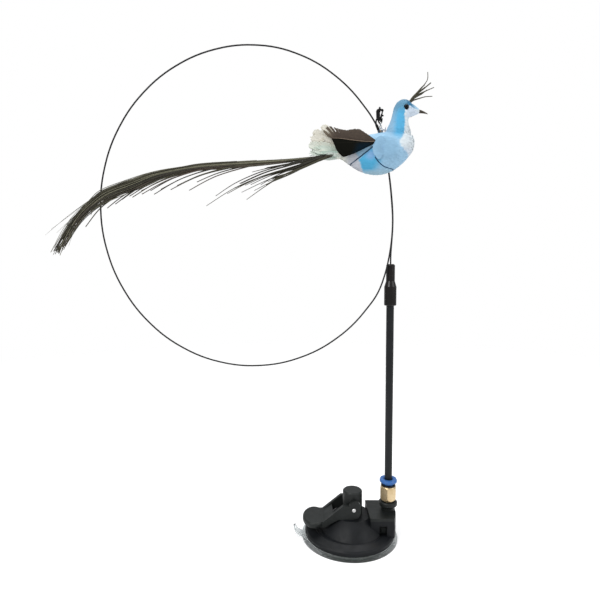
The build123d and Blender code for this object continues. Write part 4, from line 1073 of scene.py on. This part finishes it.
def hanger_wrap():
    """The wound thread on the hanger's stem."""
    turns = 9
    turn_steps = 12
    length = 2.5
    thread_r = 0.17
    low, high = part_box("hanger_binding")
    middle = (Vector(low) / MM + Vector(high) / MM) / 2
    stem = (Vector(stem_foot) - Vector(stem_top)).normalized()
    across = stem.orthogonal().normalized()
    other = stem.cross(across)
    path = []
    for step in range(turns * turn_steps + 1):
        angle = 2 * math.pi * step / turn_steps
        along = (step / (turns * turn_steps) - 0.5) * length
        bulge = 0.72 + 0.1 * math.cos(math.pi * along / 3.2)
        path.append(middle + stem * along + (across * math.cos(angle) + other * math.sin(angle)) * bulge)
    pile = Pile()
    strand(pile, path, thread_r, thread_r, srgb(176, 148, 104), sides=5)
    pile.piece("hanger_wrap", binding_tan, "binding_tan", "hanger_binding")


def back_tufts():
    """Small dark curls that stand up where the hanger enters the back, in threes."""
    pile = Pile()
    for places in curl_lines:
        for copy in range(3):
            aside = draw(-1.6, 1.6)
            corners = []
            for step, (x, z) in enumerate(places):
                x += draw(-0.3, 0.3)
                corners.append((x, BIRD_Y + 3 + aside * (1 + 0.1 * step), z + draw(-0.3, 0.3)))
            tint = vary(picker.choice((srgb(58, 86, 110), srgb(84, 118, 146))), 0.1)
            herl(pile, corners, 0.16, tint, fuzz=0.55, pitch=0.3, steps=6)
    pile.piece("back_tufts", soft_feather, "plumage_blue")


# The pieces draw from one row of random numbers, so they are made in this order
body_feathers()
shoulder_feathers()
wing(NEAR, "right")
wing(FAR, "left")
scapulars()
rump()
tail()
side_strands()
crest()
belly_thread(rear_thread_line, "rear_thread", "thread_rear")
belly_thread(front_thread_line, "front_thread", "thread_front")
hanger_wrap()
back_tufts()


# Floor, light and camera

focal_pixels = 468.7
frame_pixels = 600
sensor_width = 36.0
camera_place = (-40.27, -371.79, 212.69)
camera_down = 3.24


def bare_tree(owner):
    """The node tree of a material or world, emptied."""
    owner.use_nodes = True
    owner.node_tree.nodes.clear()
    return owner.node_tree


def mix_shaders(tree, factor, first, second):
    """A node that mixes two shaders by a factor."""
    return add_node(tree, "MixShader", {0: factor, 1: first.outputs[0], 2: second.outputs[0]})


def background_seen(tree):
    """1 for what the camera sees, also through clear rubber, and 0 for other rays."""
    rays = add_node(tree, "LightPath", {}).outputs
    inputs = {0: rays["Is Camera Ray"], 1: rays["Is Transmission Ray"]}
    return add_node(tree, "Math", inputs, operation="MAXIMUM").outputs[0]


def stage_floor():
    """A pale floor that fades into the white surround, and keeps the object's shadow."""
    fade_start = 0.35
    fade_end = 1.1
    material = bpy.data.materials.new("pale_floor")
    tree = bare_tree(material)
    pale = cloudy(tree, 40, srgb(236, 236, 236), srgb(240, 240, 240))
    matt = add_node(tree, "BsdfDiffuse", {"Color": pale})
    glow = add_node(tree, "Emission", {"Strength": 0.26})
    dark = add_node(tree, "Emission", {"Strength": 0.0})
    only_seen = mix_shaders(tree, background_seen(tree), dark, glow)
    both = add_node(tree, "AddShader", {0: matt.outputs[0], 1: only_seen.outputs[0]})
    away = add_node(tree, "VectorMath", {0: object_place(tree)}, operation="LENGTH").outputs["Value"]
    edge = add_node(tree, "MapRange", {"Value": away, "From Min": fade_start, "From Max": fade_end})
    clear = add_node(tree, "BsdfTransparent", {})
    faded = mix_shaders(tree, edge.outputs["Result"], both, clear)
    add_node(tree, "OutputMaterial", {"Surface": faded.outputs[0]})
    plane = bmesh.new()
    bmesh.ops.create_grid(plane, x_segments=8, y_segments=8, size=1.2)
    mesh = bpy.data.meshes.new("floor")
    plane.to_mesh(mesh)
    plane.free()
    mesh.materials.append(material)
    floor = show("floor", mesh)
    floor.location = (0, 0, -0.0002)


def surround():
    """White where it is seen, and a soft even light where it isn't."""
    world = bpy.data.worlds.new("surround")
    bpy.context.scene.world = world
    tree = bare_tree(world)
    lighting = add_node(tree, "Background", {"Color": (0.97, 0.985, 1.0, 1), "Strength": 0.5})
    white = add_node(tree, "Background", {"Color": (1, 1, 1, 1), "Strength": 1.0})
    mixed = mix_shaders(tree, background_seen(tree), lighting, white)
    add_node(tree, "OutputWorld", {"Surface": mixed.outputs[0]})


def soft_lamp(name, place, target, size, energy):
    """A large square lamp that looks at a place."""
    lamp = bpy.data.lights.new(name, "AREA")
    lamp.shape = "SQUARE"
    lamp.size = size
    lamp.energy = energy
    made = show(name, lamp)
    made.location = place
    made.rotation_euler = (Vector(target) - Vector(place)).to_track_quat("-Z", "Y").to_euler()


def photo_camera():
    """The camera where the photograph was taken, with its angle of view."""
    data = bpy.data.cameras.new("camera")
    data.sensor_width = sensor_width
    data.lens = sensor_width * focal_pixels / frame_pixels
    camera = show("camera", data)
    camera.location = [value * MM for value in camera_place]
    camera.rotation_euler = (math.radians(90 - camera_down), 0, 0)
    bpy.context.scene.camera = camera


stage_floor()
surround()
soft_lamp("key", (-0.9, -0.9, 1.3), (0, 0, 0.15), size=0.9, energy=17.0)
soft_lamp("fill", (1.0, -0.7, 0.8), (0, 0, 0.2), size=1.0, energy=7.0)
soft_lamp("top", (0.1, 0.5, 1.4), (0, 0, 0.1), size=0.8, energy=8.0)
photo_camera()
bpy.context.scene.view_settings.view_transform = "Standard"
